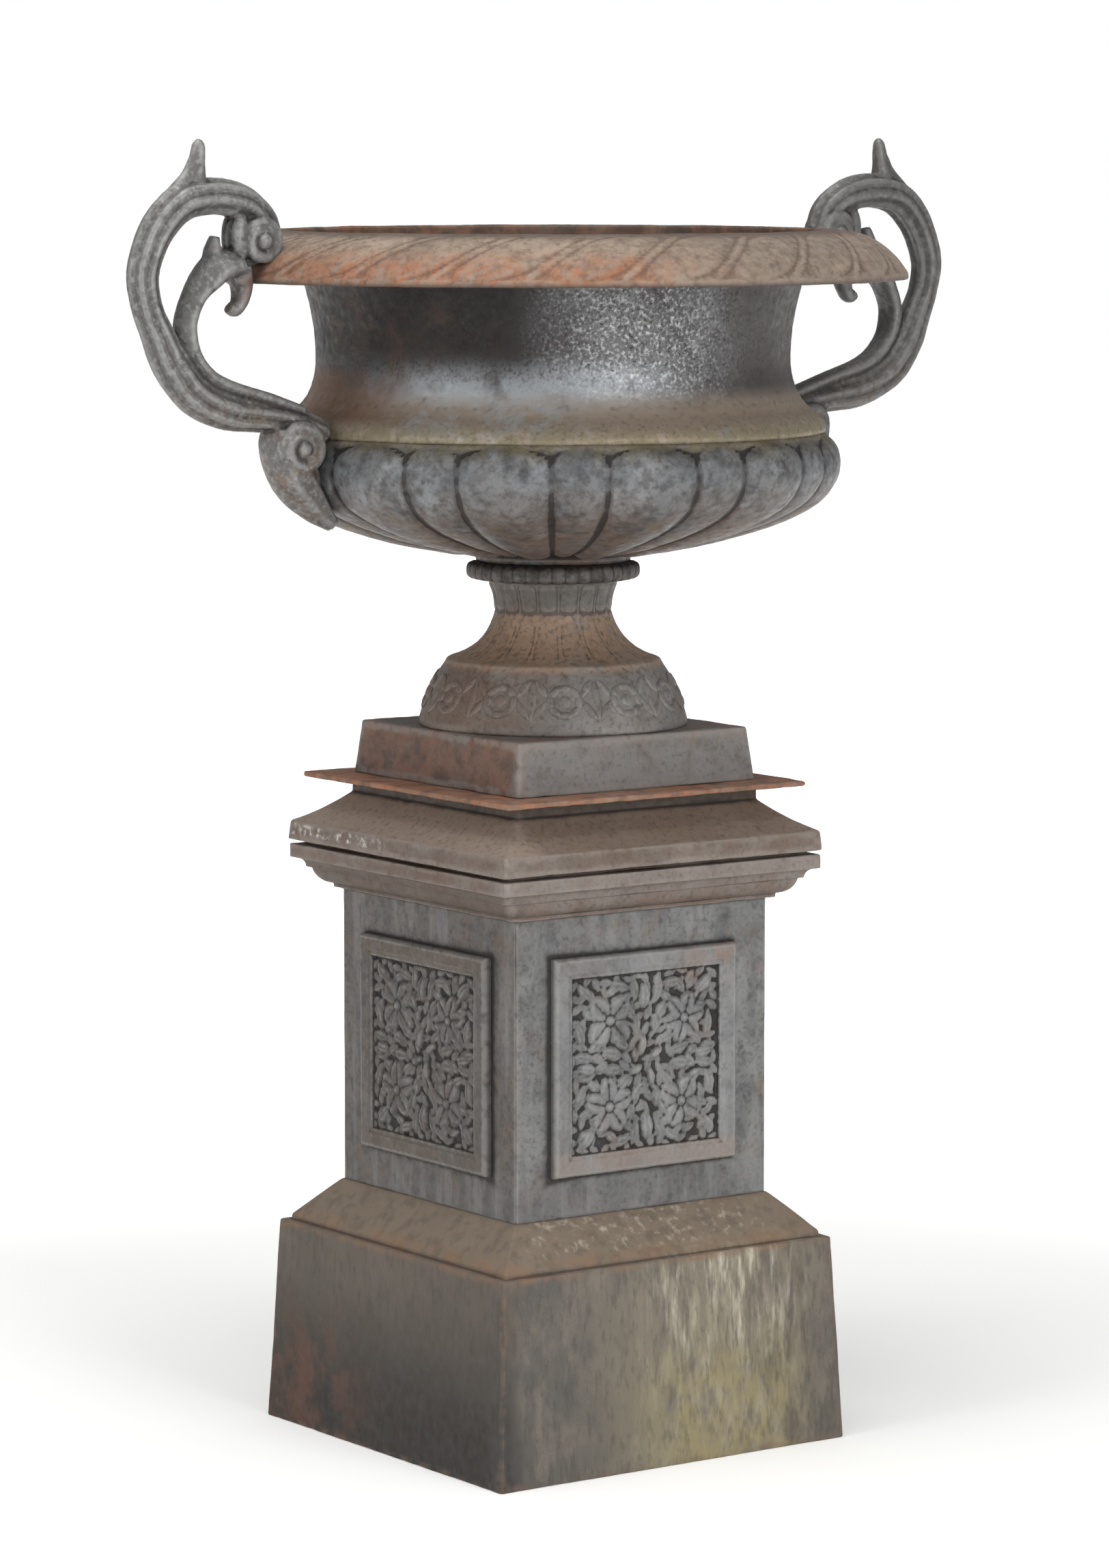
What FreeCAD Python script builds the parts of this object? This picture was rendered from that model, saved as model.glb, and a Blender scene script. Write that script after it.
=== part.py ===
import FreeCAD, Part
import math
import os
import Sketcher

Vector = FreeCAD.Vector
UP = Vector(0, 0, 1)
ALONG = Vector(1, 0, 0)
CORNER_TURNS = (0, 90, 180, 270)
SIDES = {"front": 0, "right": 90, "back": 180, "left": 270}
CORNERS = {"front_left": 0, "front_right": 90, "back_right": 180, "back_left": 270}

# Driving dimensions in millimetres
SIZES = {
    # Plinth: a hollow square base with a sloped top
    "plinth_foot_side": 394,
    "plinth_top_side": 376,
    "plinth_block_height": 192,
    "plinth_ledge": 8,
    "plinth_riser": 5,
    "weathering_rise": 36,
    "plinth_wall": 12,
    "seat_lip": 2,
    "seat_flange": 46,
    "flange_thickness": 12,
    # Die: four mitred plates
    "die_side": 286,
    "die_height": 280,
    "die_wall": 12,
    # Relief panels on the plates
    "relief_width": 208,
    "relief_height": 204,
    "relief_frame": 21,
    "relief_rise": 8,
    "relief_field": 3,
    "relief_bevel": 3,
    "relief_bloom": 7,
    "stud_radius": 4,
    "stud_inset": 12,
    "relief_nut_flats": 13,
    "relief_nut_height": 6,
    # Corner angles inside the die
    "angle_leg": 28,
    "angle_thickness": 5,
    "angle_end_gap": 14,
    "angle_bolt_inset": 18,
    "angle_bolt_end": 40,
    "corner_bolt_radius": 4,
    "corner_bolt_depth": 7,
    "corner_bolt_flats": 13,
    "corner_bolt_head": 5,
    # Cornice on the die
    "cornice_fillet": 7,
    "cornice_fillet_height": 4,
    "cornice_ovolo": 15,
    "cornice_ovolo_height": 15,
    "cornice_step": 4,
    "cornice_cavetto": 8,
    "cornice_cavetto_height": 9,
    "cornice_crown": 3,
    "cornice_crown_height": 13,
    "cornice_wall": 18,
    # Cap on the cornice
    "cap_joint_inset": 10,
    "cap_joint_height": 4,
    "cap_overhang": 1,
    "cap_fascia_height": 18,
    "cap_fascia_taper": 1.5,
    "cap_roof_rise": 29,
    "cap_neck_side": 274,
    "cap_neck_height": 13,
    "cap_wall": 10,
    "cap_opening_side": 190,
    "cap_lug": 70,
    "cap_lug_height": 12,
    # Tie rods at the inside corners
    "tie_rod_radius": 5,
    "tie_rod_inset": 19,
    "tie_rod_flats": 17,
    "tie_nut_height": 8,
    "tie_washer_radius": 10,
    "tie_washer_thickness": 2,
    # Plate and block under the urn
    "plate_side": 339,
    "plate_thickness": 5,
    "weep_radius": 6,
    "weep_circle": 40,
    "block_foot_side": 271,
    "block_top_side": 260,
    "block_height": 50,
    "block_wall": 12,
    "block_opening": 60,
    # Foot of the urn
    "bell_radius": 126,
    "bell_band": 5,
    "bell_top_radius": 101,
    "bell_height": 60,
    "trumpet_rise": 49,
    "waist_radius": 52.5,
    "foot_top_radius": 61,
    "foot_neck_height": 27,
    "foot_wall": 10,
    "foot_bore": 30,
    # Collar between foot and bowl
    "collar_radius": 80,
    "collar_height": 17,
    "collar_swell": 7,
    "collar_bore": 44,
    # Bowl
    "bowl_boss_radius": 72,
    "bowl_boss_height": 8,
    "belly_radius": 265.5,
    "belly_rise": 84,
    "lobe_depth": 8,
    "shoulder_radius": 256,
    "shoulder_rise": 29,
    "shoulder_band": 8,
    "neck_radius": 221,
    "neck_rise": 53,
    "mouth_radius": 236,
    "mouth_rise": 90,
    "bowl_wall": 11,
    "bowl_floor": 12,
    "bowl_floor_radius": 58,
    "bowl_flange_reach": 28,
    "bowl_flange_height": 8,
    "drain_radius": 5,
    "drain_circle": 26,
    # Rim
    "rim_radius": 334,
    "rim_mouth_radius": 250,
    "rim_rise": 29,
    "rim_drop": 46,
    "rim_lip": 5,
    "rim_wall": 10,
    "rim_seat": 14,
    "rim_edge": 2,
    "rim_screw_radius": 3,
    "rim_screw_flats": 10,
    "rim_screw_head": 4,
    "rim_screw_depth": 12,
    # Handles
    "handle_reach": 141,
    "handle_bar_radius": 17,
    "handle_stud_radius": 5,
    "handle_stud_grip": 28,
    "handle_nut_flats": 17,
    "handle_nut_height": 8,
    "handle_washer_radius": 12,
    "handle_washer_thickness": 2,
    "scroll_stud_radius": 4,
    "scroll_stud_grip": 16,
    "scroll_nut_flats": 13,
    "scroll_nut_height": 6,
    # Centre rod of the urn
    "centre_rod_radius": 8,
    "centre_nut_flats": 24,
    "centre_nut_height": 13,
    "centre_washer_radius": 18,
    "centre_washer_thickness": 3,
    # Fits
    "clearance": 0.3,
    "thread_end": 4,
    "overrun": 5,
}

# Outline points as shares of the sizes that they follow: radius outwards, height upwards
BELLY_LOWER_SHARES = (
    (0.0, 0.0), (0.10, 0.065), (0.40, 0.19), (0.70, 0.40), (0.905, 0.63), (0.985, 0.86), (1.0, 1.0),
)
BELLY_UPPER_SHARES = ((0.1, 0.4), (0.55, 0.85), (1.0, 1.0))
LOBE_COUNT = 12
RIM_SCREW_COUNT = 8
WIDE_LOBE_SHARE = 0.62
LOBE_FOOT_SHARE = 0.25
LOBE_CROWN_SHARE = 0.4
# Handle places: reach beyond the line from belly to lip, height from belly to lip, thickness of the bar
SCROLL_SHARES = (
    (-0.114, 0.184, 1.06), (0.124, 0.249, 1.29), (0.383, 0.300, 1.29), (0.632, 0.341, 1.24),
    (0.800, 0.433, 1.12), (0.868, 0.585, 1.03), (0.903, 0.747, 0.97), (0.873, 0.853, 0.97),
    (0.742, 0.977, 1.00), (0.517, 1.074, 1.00), (0.255, 1.147, 0.97), (0.040, 1.152, 0.88),
    (-0.116, 1.092, 0.71), (-0.128, 0.986, 0.59), (-0.026, 0.908, 0.56), (0.075, 0.903, 0.50),
)
BRANCH_SHARES = (
    (0.823, 0.562, 0.53), (0.660, 0.664, 0.50), (0.493, 0.774, 0.59),
    (0.287, 0.876, 0.65), (0.123, 0.922, 0.59),
)
PENDANT_SHARES = ((0.193, 0.866, 0.59), (0.221, 0.765, 0.71), (0.310, 0.668, 0.29))
SPIKE_SHARES = ((0.333, 1.161, 0.82), (0.291, 1.276, 0.53), (0.209, 1.401, 0.09))
BRACKET_SHARES = (
    (0.189, 0.203, 1.18), (0.221, 0.092, 1.29), (0.201, -0.028, 1.29),
    (0.062, -0.120, 0.88), (-0.070, -0.184, 0.53),
)
EYE_SHARES = (-0.024, 0.991, 0.80)
# Relief motifs as shares of half the field: place across, place up, turn in degrees, length, width
LEAF_SHARES = (
    (0.0, 0.72, 90, 0.32, 0.20), (0.0, -0.72, 90, 0.32, 0.20),
    (0.74, 0.0, 0, 0.30, 0.20), (-0.74, 0.0, 0, 0.30, 0.20),
    (0.34, 0.80, 20, 0.36, 0.14), (-0.34, 0.80, 160, 0.36, 0.14),
    (0.34, -0.80, -20, 0.36, 0.14), (-0.34, -0.80, -160, 0.36, 0.14),
    (0.80, 0.31, 70, 0.32, 0.14), (-0.80, 0.31, 110, 0.32, 0.14),
    (0.80, -0.31, -70, 0.32, 0.14), (-0.80, -0.31, -110, 0.32, 0.14),
)
CORNER_BLOOM_SHARES = ((0.62, 0.60), (-0.62, 0.60), (0.62, -0.60), (-0.62, -0.60))
# A flower: petals, ring radius, petal length, petal width, heart radius
CENTRE_FLOWER_SHARES = (8, 0.30, 0.32, 0.17, 0.11)
BLOOM_SHARES = (5, 0.16, 0.17, 0.11, 0.06)
RIDGE_LENGTH_SHARE = 0.6
RIDGE_WIDTH_SHARE = 0.3
# Sagitta of the round stretches as a share of their chord
INNER_CORNER_SHARE = 0.41
INNER_LEDGE_SHARE = 0.6
OVOLO_SHARE = 0.19
CAVETTO_SHARE = -0.2
ROOF_SHARE = -0.04
BELL_SHARE = 0.05
TRUMPET_SHARE = -0.16
FOOT_NECK_SHARE = -0.07
SHOULDER_SHARE = 0.12
THROAT_SHARE = -0.06
THROAT_RISE_SHARE = 0.4
RIM_SHARE = 0.125

doc = FreeCAD.newDocument("garden_urn")
sheet = doc.addObject("Spreadsheet::Sheet", "sizes")
for row, (alias, number) in enumerate(SIZES.items(), start=1):
    sheet.set(f"A{row}", str(number))
    sheet.setAlias(f"A{row}", alias)
doc.recompute()

sub_parts = []


# Helpers for sizes and sketches
def value(expression):
    return float(sheet.evalExpression(expression))


def origin_plane(body, role):
    return next(feature for feature in body.Origin.OriginFeatures if feature.Role == role)


def new_body(label):
    body = doc.addObject("PartDesign::Body", label)
    body.Label = label
    return body


def sketch_on(body, name, role, lift=None):
    sketch = body.newObject("Sketcher::SketchObject", name)
    sketch.AttachmentSupport = [(origin_plane(body, role), "")]
    sketch.MapMode = "FlatFace"
    if lift:
        sketch.setExpression("AttachmentOffset.Base.z", lift)
    return sketch


def sagitta(corner):
    """Sagitta share of the run that follows a corner, 0 where the run is straight."""
    return corner[2] if len(corner) > 2 else 0


def draw(sketch, corners):
    """Closed outline through corners (x, y) or (x, y, sagitta share), run with the solid on its left."""
    places = [Vector(value(corner[0]), value(corner[1]), 0) for corner in corners]
    count = len(corners)
    first = len(sketch.Geometry)
    for index, corner in enumerate(corners):
        start = places[index]
        end = places[(index + 1) % count]
        run = end - start
        middle = (start + end) * 0.5 + Vector(run.y, -run.x, 0) * sagitta(corner)
        if sagitta(corner) > 0:
            sketch.addGeometry(Part.Arc(start, middle, end))
        elif sagitta(corner) < 0:
            sketch.addGeometry(Part.Arc(end, middle, start))
        else:
            sketch.addGeometry(Part.LineSegment(start, end))
    rules = []
    expressions = []
    for index, corner in enumerate(corners):
        after = (index + 1) % count
        follows = corners[after]
        begins, ends = (2, 1) if sagitta(corner) < 0 else (1, 2)
        next_begins = 2 if sagitta(follows) < 0 else 1
        rules.append(Sketcher.Constraint("Coincident", first + index, ends, first + after, next_begins))
        expressions.append(None)
        rules.append(Sketcher.Constraint("DistanceX", -1, 1, first + index, begins, places[index].x))
        expressions.append(corner[0])
        rules.append(Sketcher.Constraint("DistanceY", -1, 1, first + index, begins, places[index].y))
        expressions.append(corner[1])
        bulge = abs(sagitta(corner))
        if bulge:
            share = (1 + 4 * bulge ** 2) / (8 * bulge)
            chord = f"sqrt(({follows[0]} - ({corner[0]}))^2 + ({follows[1]} - ({corner[1]}))^2) * {share}"
            rules.append(Sketcher.Constraint("Radius", first + index, value(chord)))
            expressions.append(chord)
    numbers = sketch.addConstraint(rules)
    for number, expression in zip(numbers, expressions):
        if expression:
            sketch.setExpression(f"Constraints[{number}]", expression)
    return sketch


def draw_circle(sketch, across, up, radius):
    centre = Vector(value(across), value(up), 0)
    index = sketch.addGeometry(Part.Circle(centre, UP, value(radius)))
    rules = [
        Sketcher.Constraint("DistanceX", -1, 1, index, 3, centre.x),
        Sketcher.Constraint("DistanceY", -1, 1, index, 3, centre.y),
        Sketcher.Constraint("Radius", index, value(radius)),
    ]
    for number, expression in zip(sketch.addConstraint(rules), (across, up, radius)):
        sketch.setExpression(f"Constraints[{number}]", expression)
    return sketch


def draw_rectangle(sketch, half_width, half_height):
    corners = [(f"-({half_width})", f"-({half_height})"), (half_width, f"-({half_height})")]
    corners += [(half_width, half_height), (f"-({half_width})", half_height)]
    return draw(sketch, corners)


# Helpers for features and placing
def pad(body, sketch, length, reverse=False):
    feature = body.newObject("PartDesign::Pad", f"{sketch.Name}_pad")
    feature.Profile = sketch
    feature.Reversed = reverse
    feature.setExpression("Length", length)
    doc.recompute()
    return feature


def pocket(body, sketch, length, reverse=False):
    before = body.Shape.Volume
    feature = body.newObject("PartDesign::Pocket", f"{sketch.Name}_pocket")
    feature.Profile = sketch
    feature.Reversed = reverse
    feature.setExpression("Length", length)
    doc.recompute()
    assert body.Shape.Volume < before, f"{feature.Name} cuts nothing"
    return feature


def revolve(body, sketch):
    feature = body.newObject("PartDesign::Revolution", f"{sketch.Name}_turned")
    feature.Profile = sketch
    feature.ReferenceAxis = (sketch, ["V_Axis"])
    doc.recompute()
    return feature


def place(thing, across="0", deep="0", up="0", turn=0):
    """Stands a thing at a place that is turned about the upright axis with it."""
    thing.Placement = FreeCAD.Placement(Vector(), FreeCAD.Rotation(UP, turn))
    cosine = round(math.cos(math.radians(turn)))
    sine = round(math.sin(math.radians(turn)))
    thing.setExpression("Placement.Base.x", f"({across}) * {cosine} - ({deep}) * {sine}")
    thing.setExpression("Placement.Base.y", f"({across}) * {sine} + ({deep}) * {cosine}")
    thing.setExpression("Placement.Base.z", up)
    return thing


def keep(thing):
    sub_parts.append(thing)
    return thing


def moulding(label, half_side, profile):
    """A profile run round a square with mitred corners."""
    body = new_body(label)
    outline = draw(sketch_on(body, f"{label}_profile", "XZ_Plane"), profile)
    path = draw_rectangle(sketch_on(body, f"{label}_path", "XY_Plane"), half_side, half_side)
    doc.recompute()
    pipe = body.newObject("PartDesign::AdditivePipe", f"{label}_run")
    pipe.Profile = outline
    pipe.Spine = (path, ["Edge1", "Edge2", "Edge3", "Edge4"])
    pipe.Transition = "Right corner"
    doc.recompute()
    return body


def turned_ring(label, profile):
    body = new_body(label)
    revolve(body, draw(sketch_on(body, f"{label}_profile", "XZ_Plane"), profile))
    return body


def cylinder(name, radius, height, up="0"):
    solid = doc.addObject("Part::Cylinder", name)
    solid.setExpression("Radius", radius)
    solid.setExpression("Height", height)
    place(solid, up=up)
    doc.recompute()
    return solid


def hexagon(name, flats, height, up="0"):
    solid = doc.addObject("Part::Prism", name)
    solid.Polygon = 6
    solid.setExpression("Circumradius", f"{flats} / sqrt(3)")
    solid.setExpression("Height", height)
    return place(solid, up=up)


def joined(name, base, tool, kind):
    result = doc.addObject(kind, name)
    result.Base = base
    result.Tool = tool
    doc.recompute()
    return result


def hex_nut(name, flats, height, bore):
    blank = hexagon(f"{name}_blank", flats, height)
    hole = cylinder(f"{name}_hole", bore, height)
    return joined(name, blank, hole, "Part::Cut")


def washer(name, radius, thickness, bore):
    blank = cylinder(f"{name}_blank", radius, thickness)
    hole = cylinder(f"{name}_hole", bore, thickness)
    return joined(name, blank, hole, "Part::Cut")


def hex_screw(name, flats, head, radius, length):
    """Head below the seat at zero, shank upwards."""
    top = hexagon(f"{name}_head", flats, head, up=f"-({head})")
    shank = cylinder(f"{name}_shank", radius, length)
    return joined(name, top, shank, "Part::Fuse")


def group(label, template, placements):
    """One node of equal pieces, each a copy of the template at its own place."""
    pieces = []
    for placement in placements:
        piece = template.Shape.copy()
        piece.Placement = placement.multiply(template.Placement)
        pieces.append(piece)
    feature = doc.addObject("Part::Feature", label)
    feature.Label = label
    feature.Shape = Part.makeCompound(pieces)
    return keep(feature)


def aimed(point, direction):
    return FreeCAD.Placement(point, FreeCAD.Rotation(UP, direction))


def turned(placement, angle):
    return FreeCAD.Placement(Vector(), FreeCAD.Rotation(UP, angle)).multiply(placement)


# Levels from the ground up
HALF_DIE = "sizes.die_side / 2"
DIE_INSIDE = f"({HALF_DIE} - sizes.die_wall)"
FLANGE_EDGE = f"({HALF_DIE} - sizes.seat_flange)"
SEAT_LEVEL = "(sizes.plinth_block_height + sizes.plinth_riser + sizes.weathering_rise)"
CORNICE_LEVEL = f"({SEAT_LEVEL} + sizes.die_height)"
CORNICE_OVOLO_TOP = "(sizes.cornice_fillet_height + sizes.cornice_ovolo_height)"
CORNICE_CAVETTO_TOP = f"({CORNICE_OVOLO_TOP} + sizes.cornice_cavetto_height)"
CORNICE_TOP = f"({CORNICE_CAVETTO_TOP} + sizes.cornice_crown_height)"
CORNICE_HALF = f"({HALF_DIE} + sizes.cornice_fillet + sizes.cornice_ovolo + sizes.cornice_step"
CORNICE_HALF += " + sizes.cornice_cavetto + sizes.cornice_crown)"
CAP_LEVEL = f"({CORNICE_LEVEL} + {CORNICE_TOP})"
FASCIA_TOP = "(sizes.cap_joint_height + sizes.cap_fascia_height)"
ROOF_TOP = f"({FASCIA_TOP} + sizes.cap_roof_rise)"
CAP_TOP = f"({ROOF_TOP} + sizes.cap_neck_height)"
PLATE_LEVEL = f"({CAP_LEVEL} + {CAP_TOP})"
BLOCK_LEVEL = f"({PLATE_LEVEL} + sizes.plate_thickness)"
FOOT_LEVEL = f"({BLOCK_LEVEL} + sizes.block_height)"
WAIST_HEIGHT = "(sizes.bell_height + sizes.trumpet_rise)"
FOOT_HEIGHT = f"({WAIST_HEIGHT} + sizes.foot_neck_height)"
COLLAR_LEVEL = f"({FOOT_LEVEL} + {FOOT_HEIGHT})"
BOWL_LEVEL = f"({COLLAR_LEVEL} + sizes.collar_height)"
BELLY_HEIGHT = "(sizes.bowl_boss_height + sizes.belly_rise)"
SHOULDER_HEIGHT = f"({BELLY_HEIGHT} + sizes.shoulder_rise)"
NECK_HEIGHT = f"({SHOULDER_HEIGHT} + sizes.shoulder_band + sizes.neck_rise)"
MOUTH_HEIGHT = f"({NECK_HEIGHT} + sizes.mouth_rise)"
RIM_HEIGHT = f"({MOUTH_HEIGHT} + sizes.bowl_flange_height)"
RIM_LEVEL = f"({BOWL_LEVEL} + {RIM_HEIGHT})"
RIM_TOP = f"({RIM_LEVEL} + sizes.rim_rise)"
BELLY_LEVEL = f"({BOWL_LEVEL} + {BELLY_HEIGHT})"
ROD_PLACE = f"({DIE_INSIDE} - sizes.tie_rod_inset)"
ROD_BORE = "(sizes.tie_rod_radius + sizes.clearance)"
CENTRE_BORE = "(sizes.centre_rod_radius + sizes.clearance)"
HANDLE_SEAT = "(sizes.belly_radius - sizes.lobe_depth - sizes.bowl_wall)"


# Stand
def four_rod_holes(body, name, lift, depth):
    sketch = sketch_on(body, name, "XY_Plane", lift)
    for across in (ROD_PLACE, f"-{ROD_PLACE}"):
        for deep in (ROD_PLACE, f"-{ROD_PLACE}"):
            draw_circle(sketch, across, deep, ROD_BORE)
    doc.recompute()
    pocket(body, sketch, depth)


def make_plinth():
    ledge_in = "(sizes.plinth_top_side / 2 - sizes.plinth_ledge)"
    riser_top = "(sizes.plinth_block_height + sizes.plinth_riser)"
    seat_edge = f"({HALF_DIE} + sizes.seat_lip)"
    profile = [
        ("sizes.plinth_foot_side / 2", "0"),
        ("sizes.plinth_top_side / 2", "sizes.plinth_block_height"),
        (ledge_in, "sizes.plinth_block_height"),
        (ledge_in, riser_top),
        (seat_edge, SEAT_LEVEL),
        (FLANGE_EDGE, SEAT_LEVEL),
        (FLANGE_EDGE, f"{SEAT_LEVEL} - sizes.flange_thickness"),
        (f"{seat_edge} - sizes.plinth_wall * {INNER_CORNER_SHARE}", f"{SEAT_LEVEL} - sizes.flange_thickness"),
        (
            "sizes.plinth_top_side / 2 - sizes.plinth_wall",
            f"sizes.plinth_block_height - sizes.plinth_wall * {INNER_LEDGE_SHARE}",
        ),
        ("sizes.plinth_foot_side / 2 - sizes.plinth_wall", "0"),
    ]
    body = moulding("plinth_base", "sizes.plinth_foot_side / 2", profile)
    four_rod_holes(body, "plinth_rod_holes", SEAT_LEVEL, "sizes.flange_thickness + sizes.overrun")
    keep(body)


ANGLE_BOLT_PLACE = f"({DIE_INSIDE} - sizes.angle_bolt_inset)"
STUD_ACROSS = "(sizes.relief_width / 2 - sizes.stud_inset)"
STUD_UP = "(sizes.relief_height / 2 - sizes.stud_inset)"


def make_die_panel(side, turn):
    """Mitred plate with holes for the relief's studs and blind holes for the corner bolts."""
    label = f"die_panel_{side}"
    body = new_body(label)
    corners = [(f"-{HALF_DIE}", f"-{HALF_DIE}"), (HALF_DIE, f"-{HALF_DIE}")]
    corners += [(DIE_INSIDE, f"-{DIE_INSIDE}"), (f"-{DIE_INSIDE}", f"-{DIE_INSIDE}")]
    pad(body, draw(sketch_on(body, f"{label}_plan", "XY_Plane"), corners), "sizes.die_height")
    middle = "sizes.die_height / 2"
    studs = sketch_on(body, f"{label}_stud_holes", "XZ_Plane", HALF_DIE)
    for across in (STUD_ACROSS, f"-{STUD_ACROSS}"):
        for up in (f"{middle} + {STUD_UP}", f"{middle} - {STUD_UP}"):
            draw_circle(studs, across, up, "sizes.stud_radius + sizes.clearance")
    doc.recompute()
    pocket(body, studs, "sizes.die_wall + sizes.overrun")
    bolts = sketch_on(body, f"{label}_bolt_holes", "XZ_Plane", DIE_INSIDE)
    for across in (ANGLE_BOLT_PLACE, f"-{ANGLE_BOLT_PLACE}"):
        for up in ("sizes.angle_bolt_end", "sizes.die_height - sizes.angle_bolt_end"):
            draw_circle(bolts, across, up, "sizes.corner_bolt_radius + sizes.clearance")
    doc.recompute()
    pocket(body, bolts, "sizes.corner_bolt_depth + sizes.clearance", reverse=True)
    keep(place(body, up=SEAT_LEVEL, turn=turn))


def make_corner_angle(corner, turn):
    label = f"corner_angle_{corner}"
    body = new_body(label)
    leg, thickness = "sizes.angle_leg", "sizes.angle_thickness"
    corners = [("0", "0"), (leg, "0"), (leg, thickness), (thickness, thickness), (thickness, leg), ("0", leg)]
    length = "(sizes.die_height - sizes.angle_end_gap * 2)"
    low = "(sizes.angle_bolt_end - sizes.angle_end_gap)"
    pad(body, draw(sketch_on(body, f"{label}_plan", "XY_Plane"), corners), length)
    for role, reverse in (("XZ_Plane", False), ("YZ_Plane", True)):
        sketch = sketch_on(body, f"{label}_{role}_holes", role)
        for up in (low, f"{length} - {low}"):
            draw_circle(sketch, "sizes.angle_bolt_inset", up, "sizes.corner_bolt_radius + sizes.clearance")
        doc.recompute()
        pocket(body, sketch, "sizes.angle_thickness + sizes.overrun", reverse)
    level = f"{SEAT_LEVEL} + sizes.angle_end_gap"
    keep(place(body, f"-{DIE_INSIDE}", f"-{DIE_INSIDE}", level, turn))


def make_corner_bolts():
    length = "(sizes.angle_thickness + sizes.corner_bolt_depth)"
    bolt = hex_screw(
        "corner_bolt", "sizes.corner_bolt_flats", "sizes.corner_bolt_head", "sizes.corner_bolt_radius", length
    )
    across = value(ANGLE_BOLT_PLACE)
    deep = value(f"{DIE_INSIDE} - sizes.angle_thickness")
    levels = [value(f"{SEAT_LEVEL} + sizes.angle_bolt_end")]
    levels.append(value(f"{CORNICE_LEVEL} - sizes.angle_bolt_end"))
    placements = []
    for turn in CORNER_TURNS:
        for level in levels:
            for side in (across, -across):
                placements.append(turned(aimed(Vector(side, -deep, level), Vector(0, -1, 0)), turn))
    group("corner_bolts", bolt, placements)


def lens(length, width, level):
    """Outline of a petal or leaf: two arcs that meet in points."""
    tip, tail = Vector(length / 2, 0, level), Vector(-length / 2, 0, level)
    left, right = Vector(0, width / 2, level), Vector(0, -width / 2, level)
    return Part.Wire([Part.Arc(tail, right, tip).toShape(), Part.Arc(tip, left, tail).toShape()])


def petal(length, width):
    """Low relief that rises from inside the field to a narrow ridge."""
    foot, crest = -value("sizes.relief_field") / 2, value("sizes.relief_bloom")
    ridge = lens(length * RIDGE_LENGTH_SHARE, width * RIDGE_WIDTH_SHARE, crest)
    return Part.makeLoft([lens(length, width, foot), ridge], True, True)


def flower(unit, count, ring, length, width, heart):
    """A ring of petals round a domed heart, in shares of the unit."""
    foot, crest = -value("sizes.relief_field") / 2, value("sizes.relief_bloom")
    pieces = [Part.makeCone(unit * heart, unit * heart * RIDGE_WIDTH_SHARE, crest - foot, UP * foot)]
    for number in range(count):
        piece = petal(unit * length, unit * width)
        piece.translate(ALONG * (unit * ring))
        piece.rotate(Vector(), UP, 90 + 360 / count * number)
        pieces.append(piece)
    return pieces


def relief_motifs():
    """Centre flower, four corner blooms and leaves between them, on the field of a panel that faces front."""
    half_width = value("sizes.relief_width / 2 - sizes.relief_frame")
    half_height = value("sizes.relief_height / 2 - sizes.relief_frame")
    motifs = flower(half_width, *CENTRE_FLOWER_SHARES)
    for across, up, turn, length, width in LEAF_SHARES:
        leaf = petal(half_width * length, half_width * width)
        leaf.rotate(Vector(), UP, turn)
        leaf.translate(Vector(half_width * across, half_height * up, 0))
        motifs.append(leaf)
    for across, up in CORNER_BLOOM_SHARES:
        for piece in flower(half_width, *BLOOM_SHARES):
            piece.translate(Vector(half_width * across, half_height * up, 0))
            motifs.append(piece)
    for motif in motifs:
        motif.rotate(Vector(), ALONG, 90)
        motif.translate(Vector(0, -value("sizes.relief_field"), 0))
    return motifs


def make_relief_casting():
    """Raised frame, sunk field and cast studs, in one casting with the ornament."""
    body = new_body("relief_plate")
    width, height = "sizes.relief_width / 2", "sizes.relief_height / 2"
    plate = draw_rectangle(sketch_on(body, "relief_outline", "XZ_Plane"), width, height)
    pad(body, plate, "sizes.relief_rise")
    inner = (f"{width} - sizes.relief_frame", f"{height} - sizes.relief_frame")
    field = draw_rectangle(sketch_on(body, "relief_field", "XZ_Plane", "sizes.relief_rise"), *inner)
    doc.recompute()
    sunk = pocket(body, field, "sizes.relief_rise - sizes.relief_field")
    front = body.Shape.BoundBox.YMin
    edges = []
    for number, edge in enumerate(body.Shape.Edges, start=1):
        if all(math.isclose(vertex.Y, front) for vertex in edge.Vertexes):
            edges.append(f"Edge{number}")
    bevel = body.newObject("PartDesign::Chamfer", "relief_bevel")
    bevel.Base = (sunk, edges)
    bevel.setExpression("Size", "sizes.relief_bevel")
    doc.recompute()
    studs = sketch_on(body, "relief_studs", "XZ_Plane")
    for across in (STUD_ACROSS, f"-{STUD_ACROSS}"):
        for up in (STUD_UP, f"-{STUD_UP}"):
            draw_circle(studs, across, up, "sizes.stud_radius")
    doc.recompute()
    pad(body, studs, "sizes.die_wall + sizes.relief_nut_height + sizes.thread_end", reverse=True)
    return body.Shape.fuse(relief_motifs())


def make_relief_panel(side, turn, casting):
    panel = doc.addObject("Part::Feature", f"relief_panel_{side}")
    panel.Label = f"relief_panel_{side}"
    panel.Shape = casting.copy()
    keep(place(panel, deep=f"-{HALF_DIE}", up=f"{SEAT_LEVEL} + sizes.die_height / 2", turn=turn))


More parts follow.
